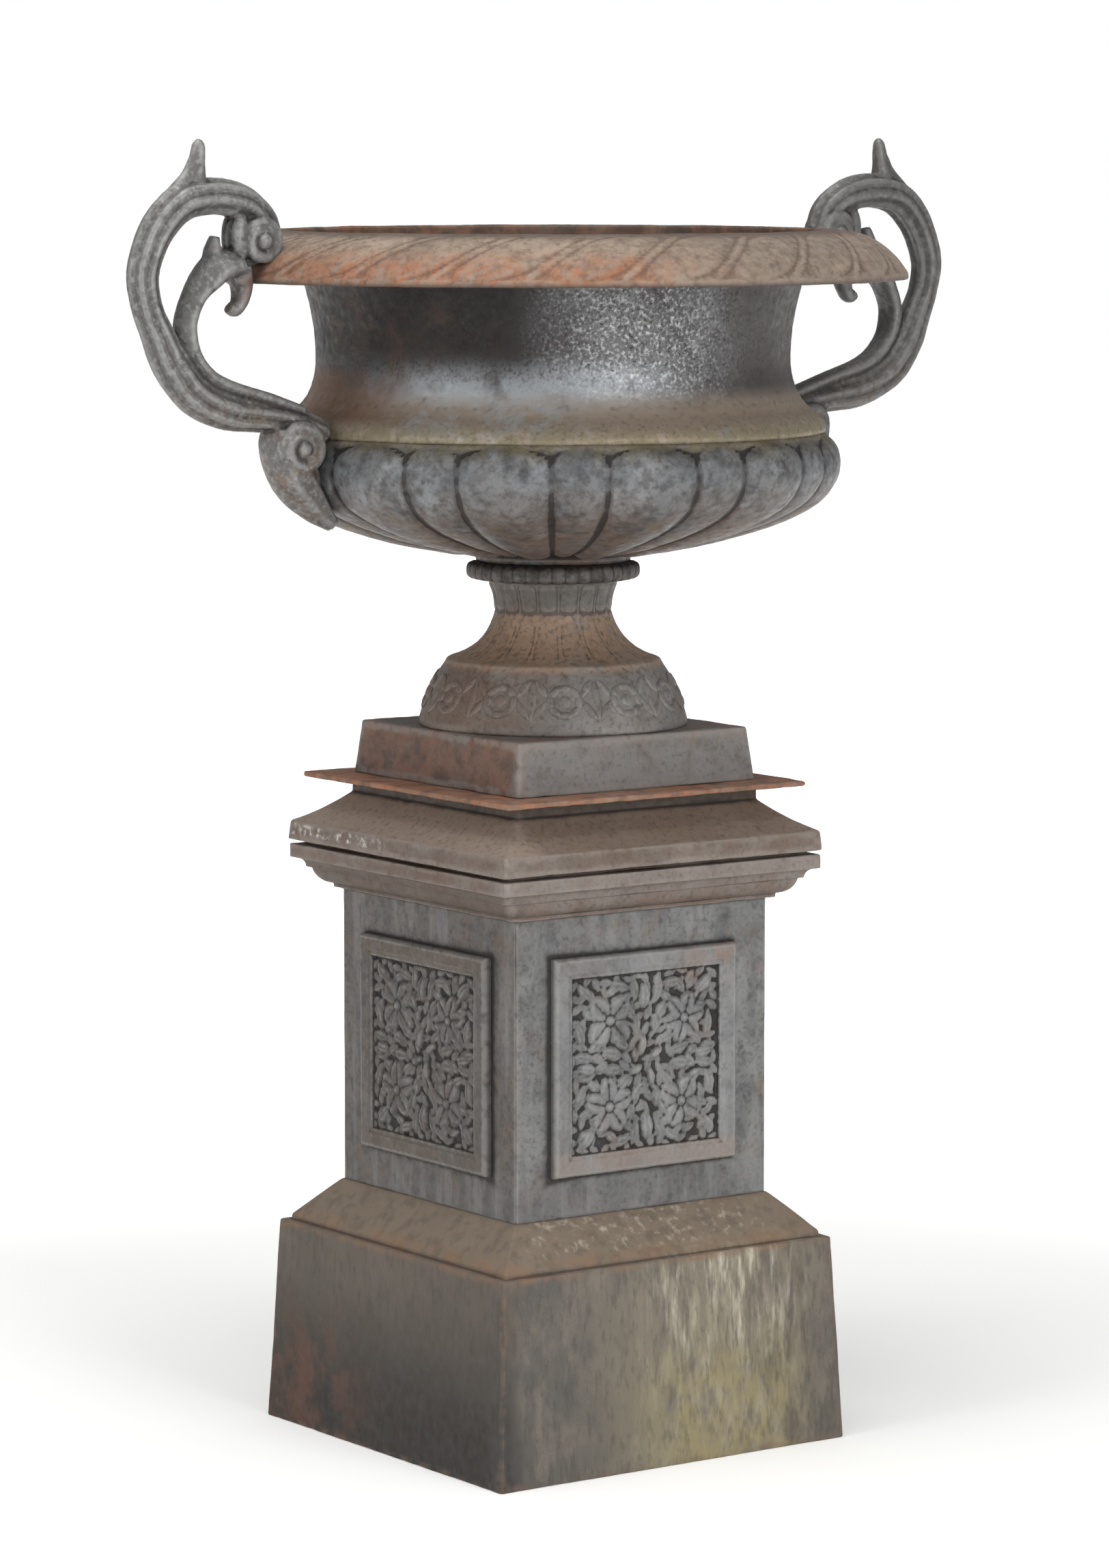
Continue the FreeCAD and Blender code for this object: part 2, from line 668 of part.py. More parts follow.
def make_relief_nuts():
    bore = "sizes.stud_radius + sizes.clearance"
    nut = hex_nut("relief_nut", "sizes.relief_nut_flats", "sizes.relief_nut_height", bore)
    across, up = value(STUD_ACROSS), value(STUD_UP)
    middle = value(f"{SEAT_LEVEL} + sizes.die_height / 2")
    placements = []
    for turn in SIDES.values():
        for side in (across, -across):
            for level in (middle + up, middle - up):
                seat = Vector(side, -value(DIE_INSIDE), level)
                placements.append(turned(aimed(seat, Vector(0, 1, 0)), turn))
    group("relief_nuts", nut, placements)


def make_cornice():
    fillet = f"({HALF_DIE} + sizes.cornice_fillet)"
    ovolo = f"({fillet} + sizes.cornice_ovolo)"
    step = f"({ovolo} + sizes.cornice_step)"
    cavetto = f"({step} + sizes.cornice_cavetto)"
    inside = f"({CORNICE_HALF} - sizes.cornice_wall)"
    profile = [
        (FLANGE_EDGE, "0"),
        (fillet, "0"),
        (fillet, "sizes.cornice_fillet_height", OVOLO_SHARE),
        (ovolo, CORNICE_OVOLO_TOP),
        (step, CORNICE_OVOLO_TOP, CAVETTO_SHARE),
        (cavetto, CORNICE_CAVETTO_TOP),
        (CORNICE_HALF, CORNICE_CAVETTO_TOP),
        (CORNICE_HALF, CORNICE_TOP),
        (inside, CORNICE_TOP),
        (inside, CORNICE_OVOLO_TOP),
        (f"{fillet} - sizes.cornice_fillet", "sizes.flange_thickness"),
        (FLANGE_EDGE, "sizes.flange_thickness"),
    ]
    body = moulding("cornice", CORNICE_HALF, profile)
    depth = "sizes.flange_thickness + sizes.overrun"
    four_rod_holes(body, "cornice_rod_holes", "sizes.flange_thickness", depth)
    keep(place(body, up=CORNICE_LEVEL))


def make_cap():
    joint = f"({CORNICE_HALF} - sizes.cap_joint_inset)"
    fascia = f"({CORNICE_HALF} + sizes.cap_overhang)"
    eaves = f"({fascia} - sizes.cap_fascia_taper)"
    neck = "(sizes.cap_neck_side / 2)"
    inside = f"({joint} - sizes.cap_wall)"
    profile = [
        (inside, "0"),
        (joint, "0"),
        (joint, "sizes.cap_joint_height"),
        (fascia, "sizes.cap_joint_height"),
        (eaves, FASCIA_TOP, ROOF_SHARE),
        (neck, ROOF_TOP),
        (neck, CAP_TOP),
        ("sizes.cap_opening_side / 2", CAP_TOP),
        ("sizes.cap_opening_side / 2", f"{CAP_TOP} - sizes.cap_wall"),
        (f"{neck} - sizes.cap_wall", f"{CAP_TOP} - sizes.cap_wall"),
        (f"{neck} - sizes.cap_wall", f"{ROOF_TOP} - sizes.cap_wall * {INNER_LEDGE_SHARE}"),
        (inside, f"{FASCIA_TOP} - sizes.cap_wall * {INNER_LEDGE_SHARE}"),
    ]
    body = moulding("cap", fascia, profile)
    lugs = sketch_on(body, "cap_lugs", "XY_Plane")
    reach = f"({inside} + sizes.cap_wall / 2)"
    inner = f"({reach} - sizes.cap_lug)"
    for sign_x, sign_y in ((1, 1), (-1, 1), (-1, -1), (1, -1)):
        near_x, far_x = f"{inner} * {sign_x}", f"{reach} * {sign_x}"
        near_y, far_y = f"{inner} * {sign_y}", f"{reach} * {sign_y}"
        draw(lugs, [(near_x, near_y), (far_x, near_y), (far_x, far_y), (near_x, far_y)])
    doc.recompute()
    pad(body, lugs, "sizes.cap_lug_height")
    depth = "sizes.cap_lug_height + sizes.overrun"
    four_rod_holes(body, "cap_rod_holes", "sizes.cap_lug_height", depth)
    keep(place(body, up=CAP_LEVEL))


def make_tie_rods():
    """Rods from under the plinth's flange to the lugs of the cap, with a nut and washer at each end."""
    low = value(f"{SEAT_LEVEL} - sizes.flange_thickness")
    high = value(f"{CAP_LEVEL} + sizes.cap_lug_height")
    spare = "(sizes.tie_washer_thickness + sizes.tie_nut_height + sizes.thread_end)"
    span = f"{CAP_LEVEL} + sizes.cap_lug_height - {SEAT_LEVEL} + sizes.flange_thickness + {spare} * 2"
    rod = cylinder("tie_rod", "sizes.tie_rod_radius", span)
    nut = hex_nut("tie_rod_nut", "sizes.tie_rod_flats", "sizes.tie_nut_height", ROD_BORE)
    ring = washer("tie_rod_washer", "sizes.tie_washer_radius", "sizes.tie_washer_thickness", ROD_BORE)
    corner = value(ROD_PLACE)
    thickness = value("sizes.tie_washer_thickness")
    rods, nuts, rings = [], [], []
    for turn in CORNER_TURNS:
        spot = FreeCAD.Rotation(UP, turn).multVec(Vector(corner, corner, 0))
        rods.append(aimed(spot + UP * (low - value(spare)), UP))
        rings.append(aimed(spot + UP * low, -UP))
        rings.append(aimed(spot + UP * high, UP))
        nuts.append(aimed(spot + UP * (low - thickness), -UP))
        nuts.append(aimed(spot + UP * (high + thickness), UP))
    group("tie_rods", rod, rods)
    group("tie_rod_nuts", nut, nuts)
    group("tie_rod_washers", ring, rings)


# Urn
def make_urn_plate():
    body = new_body("urn_plate")
    half = "sizes.plate_side / 2"
    outline = draw_rectangle(sketch_on(body, "plate_outline", "XY_Plane"), half, half)
    pad(body, outline, "sizes.plate_thickness")
    holes = sketch_on(body, "plate_holes", "XY_Plane", "sizes.plate_thickness")
    draw_circle(holes, "0", "0", CENTRE_BORE)
    circle = "sizes.weep_circle"
    for across, deep in ((circle, "0"), ("0", circle), (f"-{circle}", "0"), ("0", f"-{circle}")):
        draw_circle(holes, across, deep, "sizes.weep_radius")
    doc.recompute()
    pocket(body, holes, "sizes.plate_thickness + sizes.overrun")
    keep(place(body, up=PLATE_LEVEL))


def make_square_base():
    """Tapered hollow block, open below, with a round opening under the bell."""
    body = new_body("square_base")
    foot, top = "sizes.block_foot_side / 2", "sizes.block_top_side / 2"
    lower = draw_rectangle(sketch_on(body, "block_foot", "XY_Plane"), foot, foot)
    upper = draw_rectangle(sketch_on(body, "block_top", "XY_Plane", "sizes.block_height"), top, top)
    doc.recompute()
    loft = body.newObject("PartDesign::AdditiveLoft", "block_taper")
    loft.Profile = lower
    loft.Sections = [upper]
    doc.recompute()
    inside = f"{top} - sizes.block_wall"
    hollow = draw_rectangle(sketch_on(body, "block_hollow", "XY_Plane"), inside, inside)
    doc.recompute()
    pocket(body, hollow, "sizes.block_height - sizes.block_wall", reverse=True)
    opening = sketch_on(body, "block_opening", "XY_Plane", "sizes.block_height")
    draw_circle(opening, "0", "0", "sizes.block_opening")
    doc.recompute()
    pocket(body, opening, "sizes.block_wall + sizes.overrun")
    keep(place(body, up=BLOCK_LEVEL))


def make_foot():
    wall = "sizes.foot_wall"
    profile = [
        (f"sizes.bell_radius - {wall}", "0"),
        ("sizes.bell_radius", "0"),
        ("sizes.bell_radius", "sizes.bell_band", BELL_SHARE),
        ("sizes.bell_top_radius", "sizes.bell_height", TRUMPET_SHARE),
        ("sizes.waist_radius", WAIST_HEIGHT, FOOT_NECK_SHARE),
        ("sizes.foot_top_radius", FOOT_HEIGHT),
        ("sizes.foot_bore", FOOT_HEIGHT),
        ("sizes.foot_bore", f"{WAIST_HEIGHT} - {wall}", -TRUMPET_SHARE),
        (f"sizes.bell_top_radius - {wall}", f"sizes.bell_height - {wall}"),
    ]
    keep(place(turned_ring("foot", profile), up=FOOT_LEVEL))


def make_collar():
    waist = "(sizes.collar_radius - sizes.collar_swell)"
    profile = [
        ("sizes.collar_bore", "0"),
        (waist, "0", value("sizes.collar_swell / sizes.collar_height")),
        (waist, "sizes.collar_height"),
        ("sizes.collar_bore", "sizes.collar_height"),
    ]
    keep(place(turned_ring("collar", profile), up=COLLAR_LEVEL))


def belly_sections():
    """Crest radius, groove depth and height of each section of the lobed belly, from the boss up."""
    boss, full = value("sizes.bowl_boss_radius"), value("sizes.belly_radius")
    top, rise = value("sizes.shoulder_radius"), value("sizes.belly_rise")
    start, crown_rise = value("sizes.bowl_boss_height"), value("sizes.shoulder_rise")
    depth = value("sizes.lobe_depth")
    sections = []
    for out, up in BELLY_LOWER_SHARES:
        groove = depth * (LOBE_FOOT_SHARE + (1 - LOBE_FOOT_SHARE) * out)
        sections.append((boss + (full - boss) * out, groove, start + rise * up))
    for inward, up in BELLY_UPPER_SHARES:
        groove = depth * (1 - (1 - LOBE_CROWN_SHARE) * inward)
        sections.append((full - (full - top) * inward, groove, start + rise + crown_rise * up))
    return sections


def lobed_wire(crest, groove, level):
    """Closed ring of wide and narrow lobes, each an arc between two grooves."""
    period = 2 * math.pi / LOBE_COUNT
    narrow = period * (1 - WIDE_LOBE_SHARE)
    cuts = []
    for number in range(LOBE_COUNT):
        middle = number * period
        cuts += [middle - narrow / 2, middle + narrow / 2]
    cuts.append(cuts[0] + 2 * math.pi)
    edges = []
    for begin, end in zip(cuts, cuts[1:]):
        points = []
        for angle, radius in ((begin, crest - groove), ((begin + end) / 2, crest), (end, crest - groove)):
            points.append(Vector(radius * math.cos(angle), radius * math.sin(angle), level))
        edges.append(Part.Arc(*points).toShape())
    return Part.Wire(edges)


def lobed_belly(grow=0):
    wires = [lobed_wire(crest + grow, groove, level) for crest, groove, level in belly_sections()]
    return Part.makeLoft(wires, True, False)


def turned_solid(corners, level=0):
    """Solid of revolution from corners in the upright plane, drawn as for a sketch."""
    places = [Vector(value(corner[0]), 0, value(corner[1]) + level) for corner in corners]
    edges = []
    for index, corner in enumerate(corners):
        start = places[index]
        end = places[(index + 1) % len(places)]
        run = end - start
        middle = (start + end) * 0.5 + Vector(run.z, 0, -run.x) * sagitta(corner)
        curve = Part.Arc(start, middle, end) if sagitta(corner) else Part.LineSegment(start, end)
        edges.append(curve.toShape())
    return Part.Face(Part.Wire(edges)).revolve(Vector(), UP, 360)


def round_bore(radius, length, placement):
    bore = Part.makeCylinder(value(radius), value(length))
    bore.Placement = placement
    return bore


SHOULDER_TOP = f"({SHOULDER_HEIGHT} + sizes.shoulder_band)"
THROAT_HEIGHT = f"({SHOULDER_TOP} + sizes.neck_rise * {THROAT_RISE_SHARE})"


def neck_profile(grow="0"):
    """Shoulder, throat and flange of the neck, solid inwards to the boss."""
    shoulder = f"(sizes.shoulder_radius + {grow})"
    neck = f"(sizes.neck_radius + {grow})"
    mouth = f"(sizes.mouth_radius + {grow})"
    flange = f"({mouth} + sizes.bowl_flange_reach)"
    return [
        ("sizes.bowl_boss_radius", SHOULDER_HEIGHT),
        (shoulder, SHOULDER_HEIGHT),
        (shoulder, SHOULDER_TOP, SHOULDER_SHARE),
        (f"{neck} + sizes.bowl_wall / 2", THROAT_HEIGHT, THROAT_SHARE),
        (neck, NECK_HEIGHT, THROAT_SHARE),
        (mouth, MOUTH_HEIGHT),
        (flange, MOUTH_HEIGHT),
        (flange, RIM_HEIGHT),
        ("sizes.bowl_boss_radius", RIM_HEIGHT),
    ]


def bowl_cavity_profile():
    """The planting space, one wall inside the grooves of the belly."""
    wall = "sizes.bowl_wall"
    floor = "(sizes.bowl_boss_height + sizes.bowl_floor)"
    lower = []
    for out, up in BELLY_LOWER_SHARES[2:]:
        across = f"sizes.bowl_floor_radius + ({HANDLE_SEAT} - sizes.bowl_floor_radius) * {out}"
        lower.append((across, f"{floor} + (sizes.belly_rise - sizes.bowl_floor) * {up}"))
    over = f"({RIM_HEIGHT} + sizes.overrun)"
    corners = [("0", floor), ("sizes.bowl_floor_radius", floor)] + lower
    corners += [
        (f"sizes.shoulder_radius - {wall}", SHOULDER_HEIGHT),
        (f"sizes.neck_radius - {wall} / 2", THROAT_HEIGHT),
        (f"sizes.neck_radius - {wall}", NECK_HEIGHT),
        (f"sizes.mouth_radius - {wall}", MOUTH_HEIGHT),
        (f"sizes.mouth_radius - {wall}", over),
        ("0", over),
    ]
    return corners


def make_bowl():
    """Lobed belly, hollowed, with holes for the rod, the drains and the handles' studs."""
    boss = Part.makeCylinder(
        value("sizes.bowl_boss_radius"), value("sizes.bowl_boss_height + sizes.bowl_floor / 2")
    )
    under = Vector(0, 0, -value("sizes.overrun"))
    depth = "sizes.bowl_boss_height + sizes.bowl_floor + sizes.overrun * 2"
    tools = [turned_solid(bowl_cavity_profile()), round_bore(CENTRE_BORE, depth, aimed(under, UP))]
    for turn in CORNER_TURNS:
        spot = aimed(under + ALONG * value("sizes.drain_circle"), UP)
        tools.append(round_bore("sizes.drain_radius", depth, turned(spot, turn)))
    middle = Vector(0, 0, value(BELLY_HEIGHT))
    for aim in (ALONG, -ALONG):
        bore = "sizes.handle_stud_radius + sizes.clearance"
        tools.append(round_bore(bore, "sizes.belly_radius + sizes.overrun", aimed(middle, aim)))
        spot_face = "sizes.handle_washer_radius + sizes.clearance"
        tools.append(round_bore(spot_face, HANDLE_SEAT, aimed(middle, aim)))
    bowl = doc.addObject("Part::Feature", "bowl")
    bowl.Label = "bowl"
    bowl.Shape = lobed_belly().fuse(boss).cut(tools)
    keep(place(bowl, up=BOWL_LEVEL))


def make_neck():
    """Flared ring that seats on the belly, with a flange for the rim and holes for its screws."""
    tools = [turned_solid(bowl_cavity_profile())]
    bore = "sizes.rim_screw_radius + sizes.clearance"
    for spot in rim_screw_places(value(MOUTH_HEIGHT)):
        tools.append(round_bore(bore, "sizes.bowl_flange_height", spot))
    neck = doc.addObject("Part::Feature", "neck")
    neck.Label = "neck"
    neck.Shape = turned_solid(neck_profile()).cut(tools)
    keep(place(neck, up=BOWL_LEVEL))


RIM_SCREW_CIRCLE = "(sizes.rim_mouth_radius + sizes.rim_seat / 2)"


def rim_screw_places(level):
    """Places round the flange, half a step away from the handles."""
    reach = value(RIM_SCREW_CIRCLE)
    places = []
    for number in range(RIM_SCREW_COUNT):
        angle = 2 * math.pi * (number + 0.5) / RIM_SCREW_COUNT
        places.append(aimed(Vector(reach * math.cos(angle), reach * math.sin(angle), level), UP))
    return places


def rim_outer_corners(grow="0"):
    """Tip of the lip and top edge of the rim, measured from its seat on the flange."""
    tip = (f"(sizes.rim_radius + {grow})", "(sizes.rim_rise - sizes.rim_drop + sizes.rim_lip)")
    top = ("(sizes.rim_mouth_radius + sizes.rim_edge)", f"(sizes.rim_rise + {grow})")
    return tip, top


def make_rim():
    """Drooping lip: a shell of even wall on a ring that seats on the bowl's flange."""
    tip, top = rim_outer_corners()
    lip_low = "(sizes.rim_rise - sizes.rim_drop)"
    seat_out = "(sizes.rim_mouth_radius + sizes.rim_seat)"
    profile = [
        ("sizes.rim_mouth_radius", "0"),
        (seat_out, "0"),
        (seat_out, "sizes.rim_rise - sizes.rim_wall - sizes.rim_edge", -RIM_SHARE),
        ("sizes.rim_radius - sizes.rim_wall", lip_low),
        ("sizes.rim_radius", lip_low),
        (*tip, RIM_SHARE),
        top,
        ("sizes.rim_mouth_radius", "sizes.rim_rise - sizes.rim_edge"),
    ]
    body = turned_ring("rim_ring", profile)
    holes = sketch_on(body, "rim_screw_holes", "XY_Plane")
    bore = "sizes.rim_screw_radius + sizes.clearance"
    for number in range(RIM_SCREW_COUNT):
        angle = 2 * math.pi * (number + 0.5) / RIM_SCREW_COUNT
        across = f"{RIM_SCREW_CIRCLE} * {math.cos(angle)}"
        deep = f"{RIM_SCREW_CIRCLE} * {math.sin(angle)}"
        draw_circle(holes, across, deep, bore)
    doc.recompute()
    pocket(body, holes, "sizes.rim_screw_depth + sizes.clearance", reverse=True)
    studs = doc.addObject("Part::Feature", "rim_stud_holes")
    studs.Shape = Part.makeCompound([scroll_bore(spot) for spot in scroll_stud_places(0)])
    drilled = joined("rim", body, studs, "Part::Cut")
    keep(place(drilled, up=RIM_LEVEL))


def make_rim_screws():
    screw = hex_screw(
        "rim_screw", "sizes.rim_screw_flats", "sizes.rim_screw_head", "sizes.rim_screw_radius",
        "sizes.bowl_flange_height + sizes.rim_screw_depth",
    )
    group("rim_screws", screw, rim_screw_places(value(f"{BOWL_LEVEL} + {MOUTH_HEIGHT}")))


def rim_arc_centre():
    """Centre and radius of the lip's outer arc in the upright plane, with the rim's seat at zero."""
    tip, top = rim_outer_corners()
    low = Vector(value(tip[0]), 0, value(tip[1]))
    high = Vector(value(top[0]), 0, value(top[1]))
    run = high - low
    outward = Vector(run.z, 0, -run.x)
    middle = (low + high) * 0.5
    radius = run.Length * (1 + 4 * RIM_SHARE ** 2) / (8 * RIM_SHARE)
    return middle - outward * ((radius - run.Length * RIM_SHARE) / run.Length), radius


def scroll_eye(level):
    return handle_place(EYE_SHARES[0], EYE_SHARES[1], level)


def scroll_stud_places(level):
    """From the centre of the lip's arc through the lip to the eye of each scroll."""
    centre, radius = rim_arc_centre()
    centre = centre + UP * level
    aim = (scroll_eye(level) - centre).normalize()
    spot = aimed(centre + aim * (radius - value("sizes.rim_wall")), aim)
    return [spot, turned(spot, 180)]


def scroll_bore(placement):
    """Bore that starts below the lip and ends a fit's clearance past the stud."""
    length = "sizes.overrun + sizes.rim_wall + sizes.scroll_stud_grip + sizes.clearance"
    start = FreeCAD.Placement(UP * -value("sizes.overrun"), FreeCAD.Rotation())
    return round_bore("sizes.scroll_stud_radius + sizes.clearance", length, placement.multiply(start))


# Handles
def handle_place(reach, up, level):
    """Place in the upright plane of the handles, with the rim's seat at the given level."""
    rise = value(f"{RIM_TOP} - {BELLY_LEVEL}")
    low, high = value("sizes.belly_radius"), value("sizes.rim_radius")
    across = low + (high - low) * up + value("sizes.handle_reach") * reach
    return Vector(across, 0, level + value("sizes.rim_rise") + rise * (up - 1))


def bar(shares, level):
    """A tapering round bar through places in the upright plane."""
    places = [handle_place(reach, up, level) for reach, up, thick in shares]
    radius = value("sizes.handle_bar_radius")
    sections = []
    for index, spot in enumerate(places):
        run = places[min(index + 1, len(places) - 1)] - places[max(index - 1, 0)]
        ring = Part.Wire(Part.Circle(Vector(), UP, radius * shares[index][2]).toShape())
        ring.rotate(Vector(), Vector(0, 1, 0), math.degrees(math.atan2(run.x, run.z)))
        ring.translate(spot)
        sections.append(ring)
    return Part.makeLoft(sections, True, False)


def handle_blank(level):
    """Scroll, inner branch, pendant curl, thorn, bracket and eye, in one casting."""
    bars = [SCROLL_SHARES, BRANCH_SHARES, PENDANT_SHARES, SPIKE_SHARES, BRACKET_SHARES]
    solids = [bar(shares, level) for shares in bars]
    solids.append(Part.makeSphere(value("sizes.handle_bar_radius") * EYE_SHARES[2], scroll_eye(level)))
    return solids[0].fuse(solids[1:])


def make_handles():
    """The blank coped to the lip and the belly, with a small gap, and bored for its two studs."""
    level, bowl_level = value(RIM_LEVEL), value(BOWL_LEVEL)
    gap = "sizes.clearance"
    belly = lobed_belly(value(gap))
    belly.translate(UP * bowl_level)
    tip, top = rim_outer_corners(gap)
    low = f"(sizes.rim_rise - sizes.rim_drop - {gap})"
    lip = [("sizes.rim_mouth_radius", low), (tip[0], low), (*tip, RIM_SHARE), top]
    lip.append(("sizes.rim_mouth_radius", top[1]))
    stud = round_bore(
        f"sizes.handle_stud_radius + {gap}", f"sizes.belly_radius + sizes.handle_stud_grip + {gap}",
        aimed(UP * value(BELLY_LEVEL), ALONG),
    )
    room = [belly, turned_solid(neck_profile(gap), bowl_level), turned_solid(lip, level), stud]
    coped = handle_blank(level).cut(room + [scroll_bore(scroll_stud_places(level)[0])])
    casting = max(coped.Solids, key=lambda solid: solid.Volume)
    for label, turn in (("handle_right", 0), ("handle_left", 180)):
        handle = doc.addObject("Part::Feature", label)
        handle.Label = label
        handle.Shape = casting.copy()
        handle.Placement = FreeCAD.Placement(Vector(), FreeCAD.Rotation(UP, turn))
        keep(handle)


def make_handle_fixings():
    """Lower studs through the belly with washer and nut, upper studs through the lip with a nut below."""
    seat, level = value(HANDLE_SEAT), value(BELLY_LEVEL)
    thickness = value("sizes.handle_washer_thickness")
    spare = "(sizes.handle_washer_thickness + sizes.handle_nut_height + sizes.thread_end)"
    stud = cylinder(
        "handle_stud", "sizes.handle_stud_radius",
        f"{spare} + sizes.belly_radius + sizes.handle_stud_grip - {HANDLE_SEAT}",
    )
    bore = "sizes.handle_stud_radius + sizes.clearance"
    nut = hex_nut("handle_nut", "sizes.handle_nut_flats", "sizes.handle_nut_height", bore)
    ring = washer("handle_washer", "sizes.handle_washer_radius", "sizes.handle_washer_thickness", bore)
    start = aimed(Vector(seat - value(spare), 0, level), ALONG)
    washer_seat = aimed(Vector(seat, 0, level), -ALONG)
    nut_seat = aimed(Vector(seat - thickness, 0, level), -ALONG)
    group("handle_studs", stud, [start, turned(start, 180)])
    group("handle_washers", ring, [washer_seat, turned(washer_seat, 180)])
    group("handle_nuts", nut, [nut_seat, turned(nut_seat, 180)])
    spare = "(sizes.scroll_nut_height + sizes.thread_end)"
    length = f"{spare} + sizes.rim_wall + sizes.scroll_stud_grip"
    upper = cylinder("scroll_stud", "sizes.scroll_stud_radius", length, f"-{spare}")
    bore = "sizes.scroll_stud_radius + sizes.clearance"
    small = hex_nut("scroll_nut", "sizes.scroll_nut_flats", "sizes.scroll_nut_height", bore)
    places = scroll_stud_places(value(RIM_LEVEL))
    group("scroll_studs", upper, places)
    flip = FreeCAD.Placement(Vector(), FreeCAD.Rotation(ALONG, 180))
    sunk = FreeCAD.Placement(UP * -nut_relief(), FreeCAD.Rotation())
    group("scroll_nuts", small, [spot.multiply(sunk).multiply(flip) for spot in places])


def nut_relief():
    """How far a flat nut stands off the hollow underside of the lip, with the fit's clearance."""
    radius = rim_arc_centre()[1] - value("sizes.rim_wall")
    half = value("sizes.scroll_nut_flats") / math.sqrt(3)
    return radius - math.sqrt(radius ** 2 - half ** 2) + value("sizes.clearance")


def make_centre_rod():
    """One rod from under the plate to the floor of the bowl, with a washer and a nut at each end."""
    low = value(PLATE_LEVEL)
    floor = f"({BOWL_LEVEL} + sizes.bowl_boss_height + sizes.bowl_floor)"
    high = value(floor)
    thickness = value("sizes.centre_washer_thickness")
    spare = "(sizes.centre_washer_thickness + sizes.centre_nut_height + sizes.thread_end)"
    rod = cylinder("centre_rod", "sizes.centre_rod_radius", f"{floor} - {PLATE_LEVEL} + {spare} * 2")
    rod.Label = "centre_rod"
    keep(place(rod, up=f"{PLATE_LEVEL} - {spare}"))
    nut = hex_nut("centre_rod_nut", "sizes.centre_nut_flats", "sizes.centre_nut_height", CENTRE_BORE)
    rim, gauge = "sizes.centre_washer_radius", "sizes.centre_washer_thickness"
    ring = washer("centre_rod_washer", rim, gauge, CENTRE_BORE)
    group("centre_rod_washers", ring, [aimed(UP * low, -UP), aimed(UP * high, UP)])
    group("centre_rod_nuts", nut, [aimed(UP * (low - thickness), -UP), aimed(UP * (high + thickness), UP)])


def make_stand():
    make_plinth()
    for side, turn in SIDES.items():
        make_die_panel(side, turn)
    casting = make_relief_casting()
    for side, turn in SIDES.items():
        make_relief_panel(side, turn, casting)
    for corner, turn in CORNERS.items():
        make_corner_angle(corner, turn)
    make_corner_bolts()
    make_relief_nuts()
    make_cornice()
    make_cap()
    make_tie_rods()


def make_urn():
    make_urn_plate()
    make_square_base()
    make_foot()
    make_collar()
    make_bowl()
    make_neck()
    make_rim()
    make_rim_screws()
    make_handles()
    make_handle_fixings()
    make_centre_rod()


def check():
    """Every object computed, every sub-part a valid solid."""
    doc.recompute()
    for thing in doc.Objects:
        assert "Invalid" not in thing.State and "Error" not in thing.State, f"{thing.Name} failed"
    for thing in sub_parts:
        shape = thing.Shape
        assert not shape.isNull() and shape.isValid(), f"{thing.Label} is not valid"
        assert shape.Solids, f"{thing.Label} has no solid"


def write():
    os.makedirs("parts", exist_ok=True)
    for thing in sub_parts:
        thing.Shape.exportStep(f"parts/{thing.Label}.step")
        box = thing.Shape.BoundBox
        print(f"{thing.Label}: {len(thing.Shape.Solids)} solids, {box.ZMin:.1f} to {box.ZMax:.1f} high")


make_stand()
make_urn()
check()
write()
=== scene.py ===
# %% [markdown]
# # A cast-iron garden urn on its stand
# The part is an old garden ornament: a wide lobed bowl with a drooping rim and two scroll handles, on a round
# foot, set on a square pedestal of plinth, panelled die, cornice and cap. The construction model gives every
# piece its place, and this lesson gives each one its worn cast surface. Everything is in metres, z is up, and
# the handles lie along x.

# %% Load the construction model
import math

import bpy
import numpy as np
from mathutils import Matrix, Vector, noise


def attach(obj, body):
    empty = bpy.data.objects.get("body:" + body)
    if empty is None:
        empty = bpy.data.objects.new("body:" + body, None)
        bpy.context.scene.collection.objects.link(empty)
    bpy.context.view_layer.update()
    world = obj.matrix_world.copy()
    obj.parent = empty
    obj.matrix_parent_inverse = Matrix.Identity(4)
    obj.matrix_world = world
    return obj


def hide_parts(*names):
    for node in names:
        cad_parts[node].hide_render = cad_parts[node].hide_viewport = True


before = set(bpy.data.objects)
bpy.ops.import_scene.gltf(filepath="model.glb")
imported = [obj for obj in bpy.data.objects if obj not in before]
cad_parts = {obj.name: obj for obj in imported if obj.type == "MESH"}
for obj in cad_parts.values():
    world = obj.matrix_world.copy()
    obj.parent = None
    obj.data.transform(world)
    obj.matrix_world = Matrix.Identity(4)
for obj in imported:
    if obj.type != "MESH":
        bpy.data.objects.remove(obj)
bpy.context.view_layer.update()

scene = bpy.context.scene
MM = 0.001

# %% [markdown]
# ## Camera
# The photograph was taken from the front left, a little above the rim, with a long lens, so upright edges stay
# almost parallel. The place and the lens were found by fitting known corners of the stand to their pixels. The
# frame is taller than wide, so the sensor size counts along its height.

# %% Camera at the photograph's place
SENSOR_MM, LENS_MM = 36, 129.74
CAMERA_PLACE, CAMERA_AIM = (-3.0483, -4.3070, 1.2289), (0.57404, 0.81064, -0.11553)
camera_data = bpy.data.cameras.new("photo_camera")
camera_data.sensor_width = SENSOR_MM
camera_data.lens = LENS_MM
camera = bpy.data.objects.new("photo_camera", camera_data)
camera.location = CAMERA_PLACE
camera.rotation_euler = Vector(CAMERA_AIM).to_track_quat("-Z", "Y").to_euler()
scene.collection.objects.link(camera)
scene.camera = camera
scene.view_settings.view_transform = "Standard"
print("camera stands", round(camera.location.xy.length, 2), "m from the urn's axis")

# %% [markdown]
# ## Nodes in one line
# Materials and Geometry Nodes are both trees of nodes. One small function adds a node, sets its properties and
# fills its inputs, either with a plain value or with a link from another node's output.

